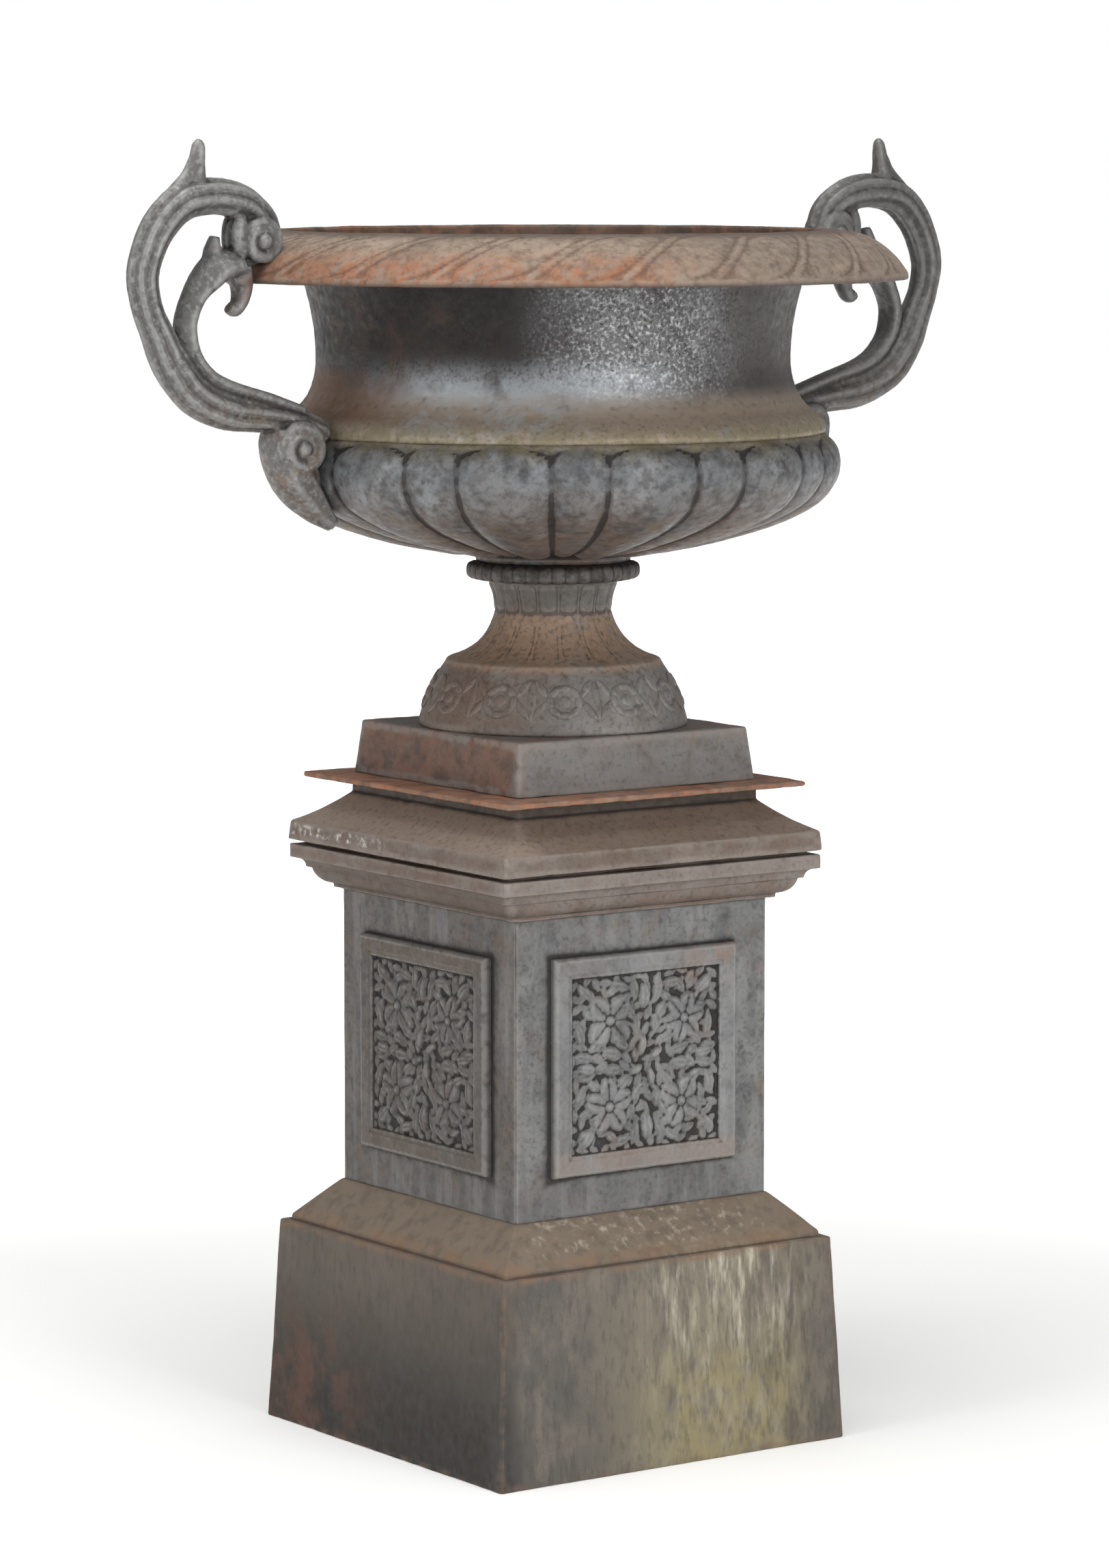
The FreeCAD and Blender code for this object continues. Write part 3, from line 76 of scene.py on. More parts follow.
# %% A function that adds a node
def add(tree, kind, inputs=None, **settings):
    """Adds a node. An input takes a plain value, a socket, or a node, which stands for its first output."""
    node = tree.nodes.new(kind)
    for name, value in settings.items():
        setattr(node, name, value)
    for key, value in (inputs or {}).items():
        if isinstance(value, bpy.types.Node):
            value = value.outputs[0]
        if isinstance(value, bpy.types.NodeSocket):
            tree.links.new(value, node.inputs[key])
        else:
            node.inputs[key].default_value = value
    return node


def linear(code):
    """A colour written as sRGB hex, as the linear values that shaders use."""
    parts = [int(code[place:place + 2], 16) / 255 for place in (1, 3, 5)]
    return tuple(c / 12.92 if c <= 0.04045 else ((c + 0.055) / 1.055) ** 2.4 for c in parts) + (1.0,)


print("paper white in linear values", linear("#F4F4F2"))

# %% [markdown]
# ## Floor, sky and lamps
# The object stands on a white studio floor that runs out of sight. The floor is a matt white that takes the
# soft shadow. For camera and mirror rays a little white glow is added, so that the paper reads as white while
# the lamps stay at a plain level. Large lamps give the soft light: a broad one above, one from the front
# and a weaker one from the left.

# %% Studio paper
# the glow grows from a little to full white between these distances from the object
GLOW_NEAR, GLOW_FAR, GLOW_STARTS, GLOW_FULL = 0.17, 1.0, 0.9, 2.2


def studio_paper():
    material = bpy.data.materials.new("matt_studio_paper")
    material.use_nodes = True
    tree = material.node_tree
    tree.nodes.clear()
    rays = add(tree, "ShaderNodeLightPath")
    seen = add(tree, "ShaderNodeMath", {0: rays.outputs["Is Camera Ray"], 1: rays.outputs["Is Glossy Ray"]},
               operation="MAXIMUM")
    seen = add(tree, "ShaderNodeMath", {0: seen, 1: rays.outputs["Is Transmission Ray"]}, operation="MAXIMUM")
    place = add(tree, "ShaderNodeTexCoord")
    reach = add(tree, "ShaderNodeVectorMath", {0: place.outputs["Object"]}, operation="LENGTH")
    glow = add(tree, "ShaderNodeMapRange", {"Value": reach.outputs["Value"], "From Min": GLOW_STARTS,
                                            "From Max": GLOW_FULL, "To Min": GLOW_NEAR, "To Max": GLOW_FAR},
               interpolation_type="SMOOTHSTEP")
    glow = add(tree, "ShaderNodeMath", {0: glow, 1: seen}, operation="MULTIPLY")
    white = add(tree, "ShaderNodeEmission", {"Color": (1, 1, 1, 1), "Strength": glow})
    matt = add(tree, "ShaderNodeBsdfDiffuse", {"Color": linear("#F4F4F2")})
    both = add(tree, "ShaderNodeAddShader", {0: matt, 1: white})
    add(tree, "ShaderNodeOutputMaterial", {"Surface": both})
    return material


paper = studio_paper()
print("the floor's paper has", len(paper.node_tree.nodes), "nodes")

# %% Floor and sky
FLOOR_HALF = 14
SKY_LIGHT, SKY_SEEN = 0.38, 1.0
floor_mesh = bpy.data.meshes.new("studio_floor")
floor_mesh.from_pydata([(-FLOOR_HALF, -FLOOR_HALF, 0), (FLOOR_HALF, -FLOOR_HALF, 0),
                        (FLOOR_HALF, FLOOR_HALF, 0), (-FLOOR_HALF, FLOOR_HALF, 0)], [], [(0, 1, 2, 3)])
floor_mesh.materials.append(paper)
floor = bpy.data.objects.new("studio_floor", floor_mesh)
scene.collection.objects.link(floor)

sky = bpy.data.worlds.new("studio_sky")
sky.use_nodes = True
sky.node_tree.nodes.clear()
rays = add(sky.node_tree, "ShaderNodeLightPath")
seen = add(sky.node_tree, "ShaderNodeMath",
           {0: rays.outputs["Is Camera Ray"], 1: rays.outputs["Is Transmission Ray"]}, operation="MAXIMUM")
level = add(sky.node_tree, "ShaderNodeMath", {0: seen, 1: SKY_SEEN - SKY_LIGHT, 2: SKY_LIGHT},
            operation="MULTIPLY_ADD")
light = add(sky.node_tree, "ShaderNodeBackground", {"Color": (1, 1, 1, 1), "Strength": level})
add(sky.node_tree, "ShaderNodeOutputWorld", {"Surface": light})
scene.world = sky
print("floor", 2 * FLOOR_HALF, "m wide under", sky.name)

# %% Lamps
LAMPS_AIM = Vector((0, 0, 0.7))


def lamp(name, place, size, power):
    data = bpy.data.lights.new(name, "AREA")
    data.shape = "DISK"
    data.size = size
    data.energy = power
    thing = bpy.data.objects.new(name, data)
    thing.location = place
    thing.rotation_euler = (LAMPS_AIM - Vector(place)).to_track_quat("-Z", "Y").to_euler()
    scene.collection.objects.link(thing)


lamp("lamp_above", (-0.7, -0.5, 4.2), 3.0, 105)
lamp("lamp_front", (0.1, -4.6, 2.0), 2.0, 88)
lamp("lamp_left", (-4.2, -0.4, 2.0), 1.8, 44)

# %% [markdown]
# ## Weathered cast iron
# Grey iron is cast in sand, so its skin is slightly grainy and never quite even. After decades outdoors it
# carries an oxide skin: dark grey where it is sound, orange-brown where rust sits, pale where lime and lichen
# have settled, and black in the hollows, where dirt collects and painted shade is laid over it. Each finish is
# built the same way: three noises at real sizes mix a dark and a light tone, and then patches of other tones are
# laid over it. Some patches are painted shade, painted shadow, painted sheen or painted highlights. A patch shows
# only where its windows are open. A window reads a direction in the object's own space, or the hollow value that
# each mesh stores, which is positive in crevices and negative on worn edges.

# %% A patch of another tone
PATCH_SOFT = 0.12


def patch_factor(tree, coords, spots_mm, cover, windows, upright=1.0):
    """Share of a patch at a point: noise that passes the cover, times every open window.
    An upright value under one draws the spots out into streaks."""
    stretched = add(tree, "ShaderNodeMapping", {"Vector": coords, "Scale": (1, 1, upright)})
    spots = add(tree, "ShaderNodeTexNoise", {"Vector": stretched, "Scale": 1 / (spots_mm * MM), "Detail": 4.0,
                                             "Roughness": 0.6})
    factor = add(tree, "ShaderNodeMapRange", {"Value": spots, "From Min": 1 - cover - PATCH_SOFT,
                                              "From Max": 1 - cover + PATCH_SOFT},
                 interpolation_type="SMOOTHSTEP")
    for axis, low, high in windows:
        if isinstance(axis, str):
            reach = add(tree, "ShaderNodeAttribute", attribute_name=axis).outputs["Fac"]
        else:
            reach = add(tree, "ShaderNodeVectorMath", {0: coords, 1: axis}, operation="DOT_PRODUCT")
            reach = reach.outputs["Value"]
        opened = add(tree, "ShaderNodeMapRange", {"Value": reach, "From Min": low, "From Max": high},
                     interpolation_type="SMOOTHSTEP")
        factor = add(tree, "ShaderNodeMath", {0: factor, 1: opened}, operation="MULTIPLY")
    return factor


print("a patch fades out over", 2 * PATCH_SOFT, "of the noise's range")

# %% A finish from tones and patches
CLOUD_MM, MOTTLE_MM = 55, 9
CLOUD_SHARE, MOTTLE_SHARE, GRAIN_SHARE = 0.5, 0.3, 0.2
TONE_LOW, TONE_HIGH = 0.4, 0.6
SHINE_LOW, SHINE_HIGH, SHINE_SPREAD = 0.3, 0.7, 0.12
MOTTLE_BUMP, BUMP_STRENGTH = 1.5, 0.8


def weathered(name, dark, light, patches, roughness=0.62, metallic=0.25, grain_mm=2.4, grain_depth=0.25,
              gloss=0.5):
    """Iron with an oxide skin. A patch is (tone, strength, spot size in mm, cover, windows, upright)."""
    material = bpy.data.materials.new(name)
    material.use_nodes = True
    tree = material.node_tree
    tree.nodes.clear()
    coords = add(tree, "ShaderNodeTexCoord").outputs["Object"]
    layers = [add(tree, "ShaderNodeTexNoise", {"Vector": coords, "Scale": 1 / (size * MM), "Detail": 2.5,
                                               "Roughness": 0.6}) for size in (CLOUD_MM, MOTTLE_MM, grain_mm)]
    blend = 0.0
    for layer, share in zip(layers, (CLOUD_SHARE, MOTTLE_SHARE, GRAIN_SHARE)):
        blend = add(tree, "ShaderNodeMath", {0: layer, 1: share, 2: blend}, operation="MULTIPLY_ADD")
    blend = add(tree, "ShaderNodeMapRange", {"Value": blend, "From Min": TONE_LOW, "From Max": TONE_HIGH})
    colour = add(tree, "ShaderNodeMix", {0: blend, 6: linear(dark), 7: linear(light)}, data_type="RGBA").outputs[2]
    for tone, strength, *patch in patches:
        factor = patch_factor(tree, coords, *patch)
        factor = add(tree, "ShaderNodeMath", {0: factor, 1: strength}, operation="MULTIPLY")
        colour = add(tree, "ShaderNodeMix", {0: factor, 6: colour, 7: linear(tone)}, data_type="RGBA").outputs[2]
    mottle, grain = layers[1:]
    height = add(tree, "ShaderNodeMath", {0: mottle, 1: MOTTLE_BUMP, 2: grain}, operation="MULTIPLY_ADD")
    bump = add(tree, "ShaderNodeBump", {"Height": height, "Strength": BUMP_STRENGTH,
                                         "Distance": grain_depth * MM})
    shine = add(tree, "ShaderNodeMapRange", {"Value": mottle, "From Min": SHINE_LOW, "From Max": SHINE_HIGH,
                                             "To Min": roughness - SHINE_SPREAD,
                                             "To Max": roughness + SHINE_SPREAD})
    surface = add(tree, "ShaderNodeBsdfPrincipled", {
        "Base Color": colour, "Roughness": shine, "Metallic": metallic, "Specular IOR Level": gloss, "Normal": bump})
    add(tree, "ShaderNodeOutputMaterial", {"Surface": surface})
    return material


UPWARD, LEFTWARD, RIGHTWARD, FRONTWARD, BACKWARD = (0, 0, 1), (-1, 0, 0), (1, 0, 0), (0, -1, 0), (0, 1, 0)
# CREVICE opens a patch in the hollows, where it paints dirt and painted shade together; EDGE opens one on worn edges
CREVICE = ("hollow", 0.08, 0.55)
EDGE = ("hollow", -0.12, -0.6)
print("finishes read the hollow attribute in crevices", CREVICE, "and on edges", EDGE)

# %% [markdown]
# ## Finishes of the stand
# The plinth takes the splash of rain, so its front carries pale lime streaks and yellow-green lichen, while its
# left face is dark. The die and its relief panels are a cleaner grey, with black hollows of dirt and painted shade
# between the leaves and a browner film on the left. The cap and the cornice are brown, with chips of old white
# paint at the left, painted light on the cap's roof and a painted shadow on its neck under the plate.

# %% Finish of the plinth
PLINTH_LEFT = (LEFTWARD, 0.165, 0.19)
PLINTH_FRONT = (FRONTWARD, 0.165, 0.185)
STREAKS_END = (RIGHTWARD, 0.17, 0.1)
LEDGE = (UPWARD, 0.19, 0.197)
# Sand-cast grey iron under lime and lichen: matt, hardly any metal shows, so it reads almost as stone.
lime_streaked_iron = weathered("lime_streaked_cast_iron", "#5C5751", "#776F67", [
    ("#5F554C", 0.6, 60, 0.7, [PLINTH_LEFT]),
    ("#302D2B", 0.92, 80, 0.8, [PLINTH_LEFT, (UPWARD, 0.19, 0.03)]),
    ("#4B4A48", 0.6, 24, 0.5, [PLINTH_FRONT, (RIGHTWARD, 0.0, -0.14)], 0.4),
    ("#857D6C", 0.75, 34, 0.6, [PLINTH_FRONT, (RIGHTWARD, -0.15, 0.0), (RIGHTWARD, 0.2, 0.13)], 0.35),
    ("#A39A86", 0.85, 12, 0.44, [PLINTH_FRONT, (RIGHTWARD, -0.08, 0.02), (RIGHTWARD, 0.17, 0.11)], 0.22),
    ("#CBC5B4", 0.85, 8, 0.39, [PLINTH_FRONT, (RIGHTWARD, -0.06, 0.04), STREAKS_END, (UPWARD, 0.05, 0.12)], 0.12),
    ("#9A8E66", 0.8, 44, 0.56, [PLINTH_FRONT, (RIGHTWARD, -0.08, 0.05), STREAKS_END, (UPWARD, 0.15, 0.05)]),
    ("#4E4A43", 0.7, 18, 0.42, [PLINTH_FRONT, (RIGHTWARD, 0.06, 0.13)], 0.3),
    ("#46423D", 0.45, 6, 0.42, [], 0.3),
    ("#7E6F5E", 0.75, 45, 0.75, [LEDGE]),
    ("#5A5045", 0.55, 14, 0.44, [LEDGE]),
    ("#B0A896", 0.75, 9, 0.38, [(UPWARD, 0.2, 0.207), (FRONTWARD, 0.12, 0.15), (RIGHTWARD, -0.17, -0.1),
                              (RIGHTWARD, 0.15, 0.08)]),
    ("#6E4E3E", 0.55, 40, 0.5, [PLINTH_LEFT, (UPWARD, 0.15, 0.05), (BACKWARD, -0.02, 0.12)]),
    ("#86684F", 0.55, 26, 0.5, [(UPWARD, 0.184, 0.191), (UPWARD, 0.207, 0.2)]),
    ("#7A6555", 0.5, 16, 0.5, [("hollow", -0.35, -0.9)]),
    ("#3C2F27", 0.75, 30, 0.85, [CREVICE]),
], roughness=0.74, metallic=0.1)
print("plinth finish", lime_streaked_iron.name)

# %% Finish of the die
DIE_FRONT, DIE_LEFT = (FRONTWARD, 0.145, 0.148), (LEFTWARD, 0.145, 0.148)
# Sand-cast grey iron, washed by rain: a soft grey with a low metallic sheen, and black crevices of dirt and painted
# shade.
panel_iron = weathered("worn_grey_cast_iron", "#6B6B6B", "#858584", [
    ("#5B5049", 0.7, 60, 0.8, [(LEFTWARD, 0.14, 0.1425)]),
    ("#735A47", 0.5, 34, 0.4, []),
    ("#4F5051", 0.6, 18, 0.44, []),
    ("#45423F", 0.45, 4.5, 0.42, []),
    ("#5F5E5C", 0.4, 50, 0.7, [(UPWARD, 0.29, 0.24)]),
    ("#969694", 0.35, 20, 0.44, [], 0.14),
    ("#55565A", 0.4, 14, 0.42, [], 0.12),
    ("#8E6C54", 0.6, 26, 0.52, [DIE_FRONT, (RIGHTWARD, 0.0, 0.07), (UPWARD, 0.43, 0.46)]),
    ("#8C7666", 0.6, 34, 0.62, [DIE_FRONT, (UPWARD, 0.298, 0.288)]),
    ("#6E5B4D", 0.6, 34, 0.62, [DIE_LEFT, (UPWARD, 0.298, 0.288)]),
    ("#6E5B4D", 0.6, 34, 0.62, [DIE_LEFT, (UPWARD, 0.45, 0.46)]),
    ("#98989A", 0.3, 40, 0.6, [(FRONTWARD, 0.149, 0.1505)]),
    ("#4C4946", 0.45, 40, 0.7, [(LEFTWARD, 0.1435, 0.1455)]),
    ("#979793", 0.4, 12, 0.6, [EDGE]),
    # near black in the hollows: dirt and painted shade
    ("#211F1D", 0.92, 60, 0.98, [("hollow", 0.04, 0.5)]),
], roughness=0.6)
print("die finish", panel_iron.name)

# %% Finish of the cornice and the cap
# Sand-cast grey iron under a thin film of rust and soil: brown, warm and half matt.
cap_iron = weathered("brown_film_cast_iron", "#645850", "#837971", [
    ("#6A5143", 0.55, 45, 0.5, []),
    # painted light on the cap's roof, which lies under the plate, lighter still at the left
    ("#877769", 0.75, 40, 0.8, [(UPWARD, 0.574, 0.578)]),
    ("#A39386", 0.7, 40, 0.75, [(UPWARD, 0.574, 0.578), (LEFTWARD, 0.125, 0.15)]),
    ("#54483F", 0.6, 40, 0.7, [(UPWARD, 0.545, 0.535), (LEFTWARD, 0.14, 0.15)]),
    ("#8C8580", 0.6, 30, 0.6, [(FRONTWARD, 0.15, 0.18), (UPWARD, 0.56, 0.55)]),
    ("#E9E6DF", 0.9, 9, 0.4, [(LEFTWARD, 0.177, 0.18), (BACKWARD, 0.0, 0.05), (UPWARD, 0.562, 0.565),
                              (UPWARD, 0.576, 0.572)]),
    ("#463F3A", 0.45, 5, 0.4, []),
    ("#938A82", 0.5, 14, 0.6, [EDGE]),
    # painted shadow under the plate, on the cap's neck
    ("#332A25", 0.75, 40, 0.85, [(UPWARD, 0.601, 0.606)]),
    ("#26211E", 0.9, 60, 0.95, [CREVICE]),
], roughness=0.62)
print("cap finish", cap_iron.name)

# %% [markdown]
# ## Finishes of the urn
# The neck is nearly black at the upper left, where dark oxide carries a painted shadow from the rim, pitted and
# shining further right, and painted with a bluish-white sheen near its foot. The shoulder is olive brown, with a
# painted grey-blue sheen and a thin line of lichen over the lobes, and the lobes carry painted pale highlights. The
# rim is bare and rusts orange-red from its lower edge, and only its top and its right side are still tan grey. The
# foot and the block are brown at the left and grey at the right, the thin plate is plain rust, and the right
# handle carries painted shade.

# %% Finish of the neck and the bowl
# the direction to the left for one who stands where the camera does
VIEW_LEFT = (-0.816, 0.578, 0)
# Sand-cast iron eaten by pits: dark, with small bright points where bare metal shows.
pitted_iron = weathered("pitted_cast_iron", "#504E4E", "#767677", [
    ("#9C9FA2", 0.6, 12, 0.55, [EDGE]),
    # a painted bluish-white sheen on the lower neck
    ("#A9AEB3", 0.8, 40, 0.62, [(UPWARD, 0.965, 0.98), (UPWARD, 1.03, 1.0), (VIEW_LEFT, -0.14, -0.04),
                              (VIEW_LEFT, 0.19, 0.1)]),
    # dark oxide at the upper left of the neck, with a painted shadow from the rim over it
    ("#150F0C", 0.95, 70, 0.86, [(UPWARD, 0.985, 1.035), (VIEW_LEFT, -0.05, 0.05)]),
    ("#4E392D", 0.5, 34, 0.42, [(UPWARD, 0.96, 1.0), (VIEW_LEFT, 0.02, 0.12)]),
    ("#C6C7C9", 0.85, 3.4, 0.42, [(UPWARD, 0.975, 1.0), (VIEW_LEFT, 0.04, -0.06), (VIEW_LEFT, -0.19, -0.1)]),
    ("#2B2827", 0.85, 3.2, 0.42, [(UPWARD, 0.985, 1.02)]),
    ("#3B3533", 0.75, 40, 0.72, [(UPWARD, 0.975, 0.99), (VIEW_LEFT, -0.13, -0.19)]),
    ("#9F8F7E", 0.85, 30, 0.72, [(UPWARD, 0.94, 0.95), (UPWARD, 0.998, 0.972)]),
    # a painted grey-blue sheen across the middle of the shoulder
    ("#A5A8A9", 0.65, 22, 0.5, [(UPWARD, 0.945, 0.957), (UPWARD, 0.995, 0.978), (VIEW_LEFT, -0.05, 0.02),
                               (VIEW_LEFT, 0.17, 0.11)]),
    ("#7C5B46", 0.65, 34, 0.6, [(UPWARD, 0.955, 0.97), (UPWARD, 1.015, 0.995), (VIEW_LEFT, 0.11, 0.19)]),
    ("#7A7257", 0.7, 14, 0.58, [(UPWARD, 0.928, 0.943), (UPWARD, 0.97, 0.953)]),
    ("#4A4745", 0.42, 44, 0.58, [(UPWARD, 0.95, 0.94)]),
    ("#4A5057", 0.36, 30, 0.5, [(UPWARD, 0.945, 0.935), (UPWARD, 0.895, 0.915)]),
    ("#755F4E", 0.6, 36, 0.55, [(UPWARD, 0.92, 0.86)]),
    ("#393838", 0.55, 11, 0.42, [(UPWARD, 0.95, 0.94)]),
    # painted pale bluish highlights in spots on the lobes
    ("#8E9092", 0.5, 16, 0.36, [(UPWARD, 0.95, 0.93), (UPWARD, 0.87, 0.9)]),
    ("#45403D", 0.45, 4.5, 0.4, [(UPWARD, 0.975, 0.965)]),
    ("#211E1D", 0.8, 60, 0.98, [CREVICE]),
], roughness=0.5, metallic=0.22, gloss=0.28)
print("neck and bowl finish", pitted_iron.name)

# %% Finishes of the foot, the rim and the block
# Sand-cast iron with a sound oxide skin: brown-grey, even and half matt.
foot_iron = weathered("brown_grey_cast_iron", "#67605A", "#837D78", [
    ("#6F5646", 0.6, 40, 0.58, [(VIEW_LEFT, -0.03, 0.07)]),
    ("#A3876F", 0.75, 26, 0.64, [(UPWARD, 0.725, 0.735), (UPWARD, 0.79, 0.77)]),
    ("#4E4D4A", 0.6, 30, 0.7, [(UPWARD, 0.775, 0.79)]),
    ("#8A8785", 0.5, 30, 0.5, [(FRONTWARD, 0.05, 0.12)]),
    ("#2E2826", 0.9, 40, 0.9, [(UPWARD, 0.806, 0.811)]),
    ("#413B37", 0.5, 5, 0.42, []),
    ("#8E8883", 0.3, 12, 0.55, [EDGE]),
    ("#35302C", 0.7, 60, 0.95, [CREVICE]),
], roughness=0.6)

# Sand-cast iron gone bare: chalky tan above, bright orange rust along the lower edge.
rim_iron = weathered("rust_bare_cast_iron", "#776859", "#958472", [
    ("#8B5839", 0.75, 30, 0.62, [(UPWARD, 1.128, 1.104), (VIEW_LEFT, -0.2, -0.02)]),
    ("#985D38", 0.65, 15, 0.44, [(UPWARD, 1.124, 1.1), (VIEW_LEFT, -0.26, -0.05)]),
    ("#75695E", 0.7, 34, 0.62, [(VIEW_LEFT, -0.06, -0.2)]),
    ("#5B4A40", 0.6, 11, 0.44, []),
    ("#47392F", 0.5, 5, 0.4, []),
    ("#968779", 0.5, 14, 0.55, [EDGE]),
    ("#38291F", 0.7, 50, 0.92, [(UPWARD, 1.128, 1.1345)]),
    ("#4C362B", 0.5, 60, 0.95, [CREVICE]),
    ("#3A302B", 0.9, 60, 0.9, [(UPWARD, 1.094, 1.088)]),
], roughness=0.68, metallic=0.1)

# Sand-cast iron with rust washed down over it: grey with brown clouds.
block_iron = weathered("rust_stained_cast_iron", "#5F5954", "#7D7874", [
    ("#7C5A48", 0.8, 40, 0.66, [(LEFTWARD, 0.12, 0.129)]),
    ("#45403C", 0.6, 22, 0.46, [(LEFTWARD, 0.12, 0.129)]),
    ("#8A5E44", 0.6, 20, 0.42, [(UPWARD, 0.655, 0.675)]),
    ("#858280", 0.55, 26, 0.55, [(FRONTWARD, 0.12, 0.13)]),
    ("#443E3A", 0.45, 5, 0.4, []),
    ("#8F8A85", 0.55, 12, 0.6, [EDGE]),
    ("#282421", 0.8, 60, 0.97, [CREVICE]),
], roughness=0.64)
print("finishes", foot_iron.name, rim_iron.name, block_iron.name)

# %% Finishes of the plate, the handles and the inside
# Rolled iron plate, rusted all over: matt orange-brown, no metal shows.
rusted_plate = weathered("rusted_iron_plate", "#80624F", "#9E7A65", [
    ("#A0694C", 0.6, 30, 0.5, []),
    ("#5A4A42", 0.7, 24, 0.45, []),
    ("#8E8078", 0.5, 10, 0.42, [(FRONTWARD, 0.1, 0.165)]),
], roughness=0.78, metallic=0.05)

# Iron cast in fine sand, rubbed on its ridges: mid grey, paler where hands and rain reach.
handle_iron = weathered("grey_cast_iron_scroll", "#585756", "#757473", [
    ("#75614F", 0.6, 30, 0.5, [(UPWARD, 1.03, 0.97)]),
    ("#484645", 0.6, 9, 0.46, []),
    ("#979796", 0.6, 5, 0.42, []),
    ("#9A9A99", 0.5, 10, 0.6, [EDGE]),
    ("#7A5643", 0.6, 20, 0.5, [(UPWARD, 1.05, 1.06), (UPWARD, 1.105, 1.09), (LEFTWARD, 0.3, 0.31),
                              (LEFTWARD, 0.37, 0.355)]),
    # painted shade on the right handle
    ("#4A4846", 0.5, 40, 0.75, [(RIGHTWARD, 0.2, 0.25)]),
    # near black in the hollows: dirt and painted shade
    ("#292624", 0.85, 60, 0.98, [("hollow", 0.08, 0.6)]),
], roughness=0.55, metallic=0.3)

# Sand-cast iron that has held wet soil: dark brown rust, quite matt.
inner_rust = weathered("rusted_bowl_inside", "#4A3D35", "#6B5648", [
    ("#7F5740", 0.6, 40, 0.5, []),
    ("#2C2623", 0.6, 24, 0.5, []),
], roughness=0.8, metallic=0.05)

# Drawn steel rods and pressed nuts gone dull: metallic, with brown specks.
dull_steel = weathered("dull_steel_fixings", "#57504A", "#7A736C", [
    ("#7A5240", 0.6, 6, 0.5, []),
], roughness=0.5, metallic=0.8, grain_mm=1.5, grain_depth=0.1)
print("finishes", rusted_plate.name, handle_iron.name, inner_rust.name, dull_steel.name)

# %% [markdown]
# ## From points to a piece
# Most pieces are skins: a grid of points, row by row, closed round one way. This helper joins such a grid with
# four-sided faces. Castings are never perfectly flat, so each finished skin is pushed in and out by a slow
# noise of half a millimetre. Then the hollow value is measured: the mesh is smoothed in memory, and each point
# notes how far it lies under or over its smoothed place.

# %% Skins
def skin(rows, columns, close_rows=True):
    """Four-sided faces over a grid of points that is closed along its columns."""
    row = np.arange(rows if close_rows else rows - 1)
    column = np.arange(columns)
    row, column = np.meshgrid(row, column, indexing="ij")
    below, beside = (row + 1) % rows, (column + 1) % columns
    corners = [row * columns + column, row * columns + beside, below * columns + beside, below * columns + column]
    return np.stack(corners, -1).reshape(-1, 4)


def new_piece(name, points, faces):
    mesh = bpy.data.meshes.new(name)
    mesh.from_pydata(np.asarray(points).reshape(-1, 3).tolist(), [], [list(map(int, face)) for face in faces])
    mesh.shade_smooth()
    piece = bpy.data.objects.new(name, mesh)
    scene.collection.objects.link(piece)
    return piece


print("a tube of 3 rings with 8 points has", len(skin(3, 8, close_rows=False)), "faces")

# %% Casting waves
def read_points(mesh):
    flat = np.empty(len(mesh.vertices) * 3, np.float32)
    mesh.vertices.foreach_get("co", flat)
    return flat.reshape(-1, 3).astype(float)


def read_normals(mesh):
    flat = np.empty(len(mesh.vertices) * 3, np.float32)
    mesh.vertex_normals.foreach_get("vector", flat)
    return flat.reshape(-1, 3).astype(float)


def move_points(mesh, points):
    mesh.vertices.foreach_set("co", points.astype(np.float32).ravel())
    mesh.update()


def noise_at(points, size_mm):
    return np.array([noise.noise(point) for point in (points / (size_mm * MM)).tolist()])


def cast_waves(piece, depth_mm=0.5, size_mm=45, fine_mm=0.12, fine_size_mm=9):
    """Moves each point along its normal by a slow and a quick noise."""
    points = read_points(piece.data)
    push = noise_at(points, size_mm) * depth_mm + noise_at(points, fine_size_mm) * fine_mm
    move_points(piece.data, points + read_normals(piece.data) * push[:, None] * MM)


print("noise runs from about -1 to 1, here", round(float(noise_at(np.array([[0.01, 0.02, 0.03]]), 45)[0]), 2))

# %% Hollows
def mark_hollows(piece, depth_mm=0.8, rounds=14, dirt_and_shade=0.0):
    """Stores the hollow value, plus any darkening given for each point, of grime and painted shade together: 1 is a
    crevice this deep, -1 an edge that stands out as far.
    """
    mesh = piece.data
    points = read_points(mesh)
    ends = np.empty(len(mesh.edges) * 2, np.int32)
    mesh.edges.foreach_get("vertices", ends)
    one, other = ends.reshape(-1, 2).T
    count = len(points)
    degree = np.maximum(np.bincount(ends, minlength=count), 1)
    soft = points.copy()
    for _ in range(rounds):
        for axis in range(3):
            total = np.bincount(one, soft[other, axis], count) + np.bincount(other, soft[one, axis], count)
            soft[:, axis] = 0.5 * soft[:, axis] + 0.5 * total / degree
    value = np.clip(((soft - points) * read_normals(mesh)).sum(1) / (depth_mm * MM) + dirt_and_shade, -1, 1)
    store = mesh.attributes.new("hollow", "FLOAT", "POINT")
    store.data.foreach_set("value", value.astype(np.float32))
    return value


def finish_piece(piece, body, nodes, material, depth_mm=0.8, rounds=14, dirt_and_shade=0.0):
    """Gives a piece its hollows, material and body, and hides the construction nodes that it stands for."""
    value = mark_hollows(piece, depth_mm, rounds, dirt_and_shade)
    if not piece.data.materials:
        piece.data.materials.append(material)
    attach(piece, body)
    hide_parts(*nodes)
    print(piece.name, len(piece.data.polygons), "faces, hollow from", round(value.min(), 2), "to",
          round(value.max(), 2))

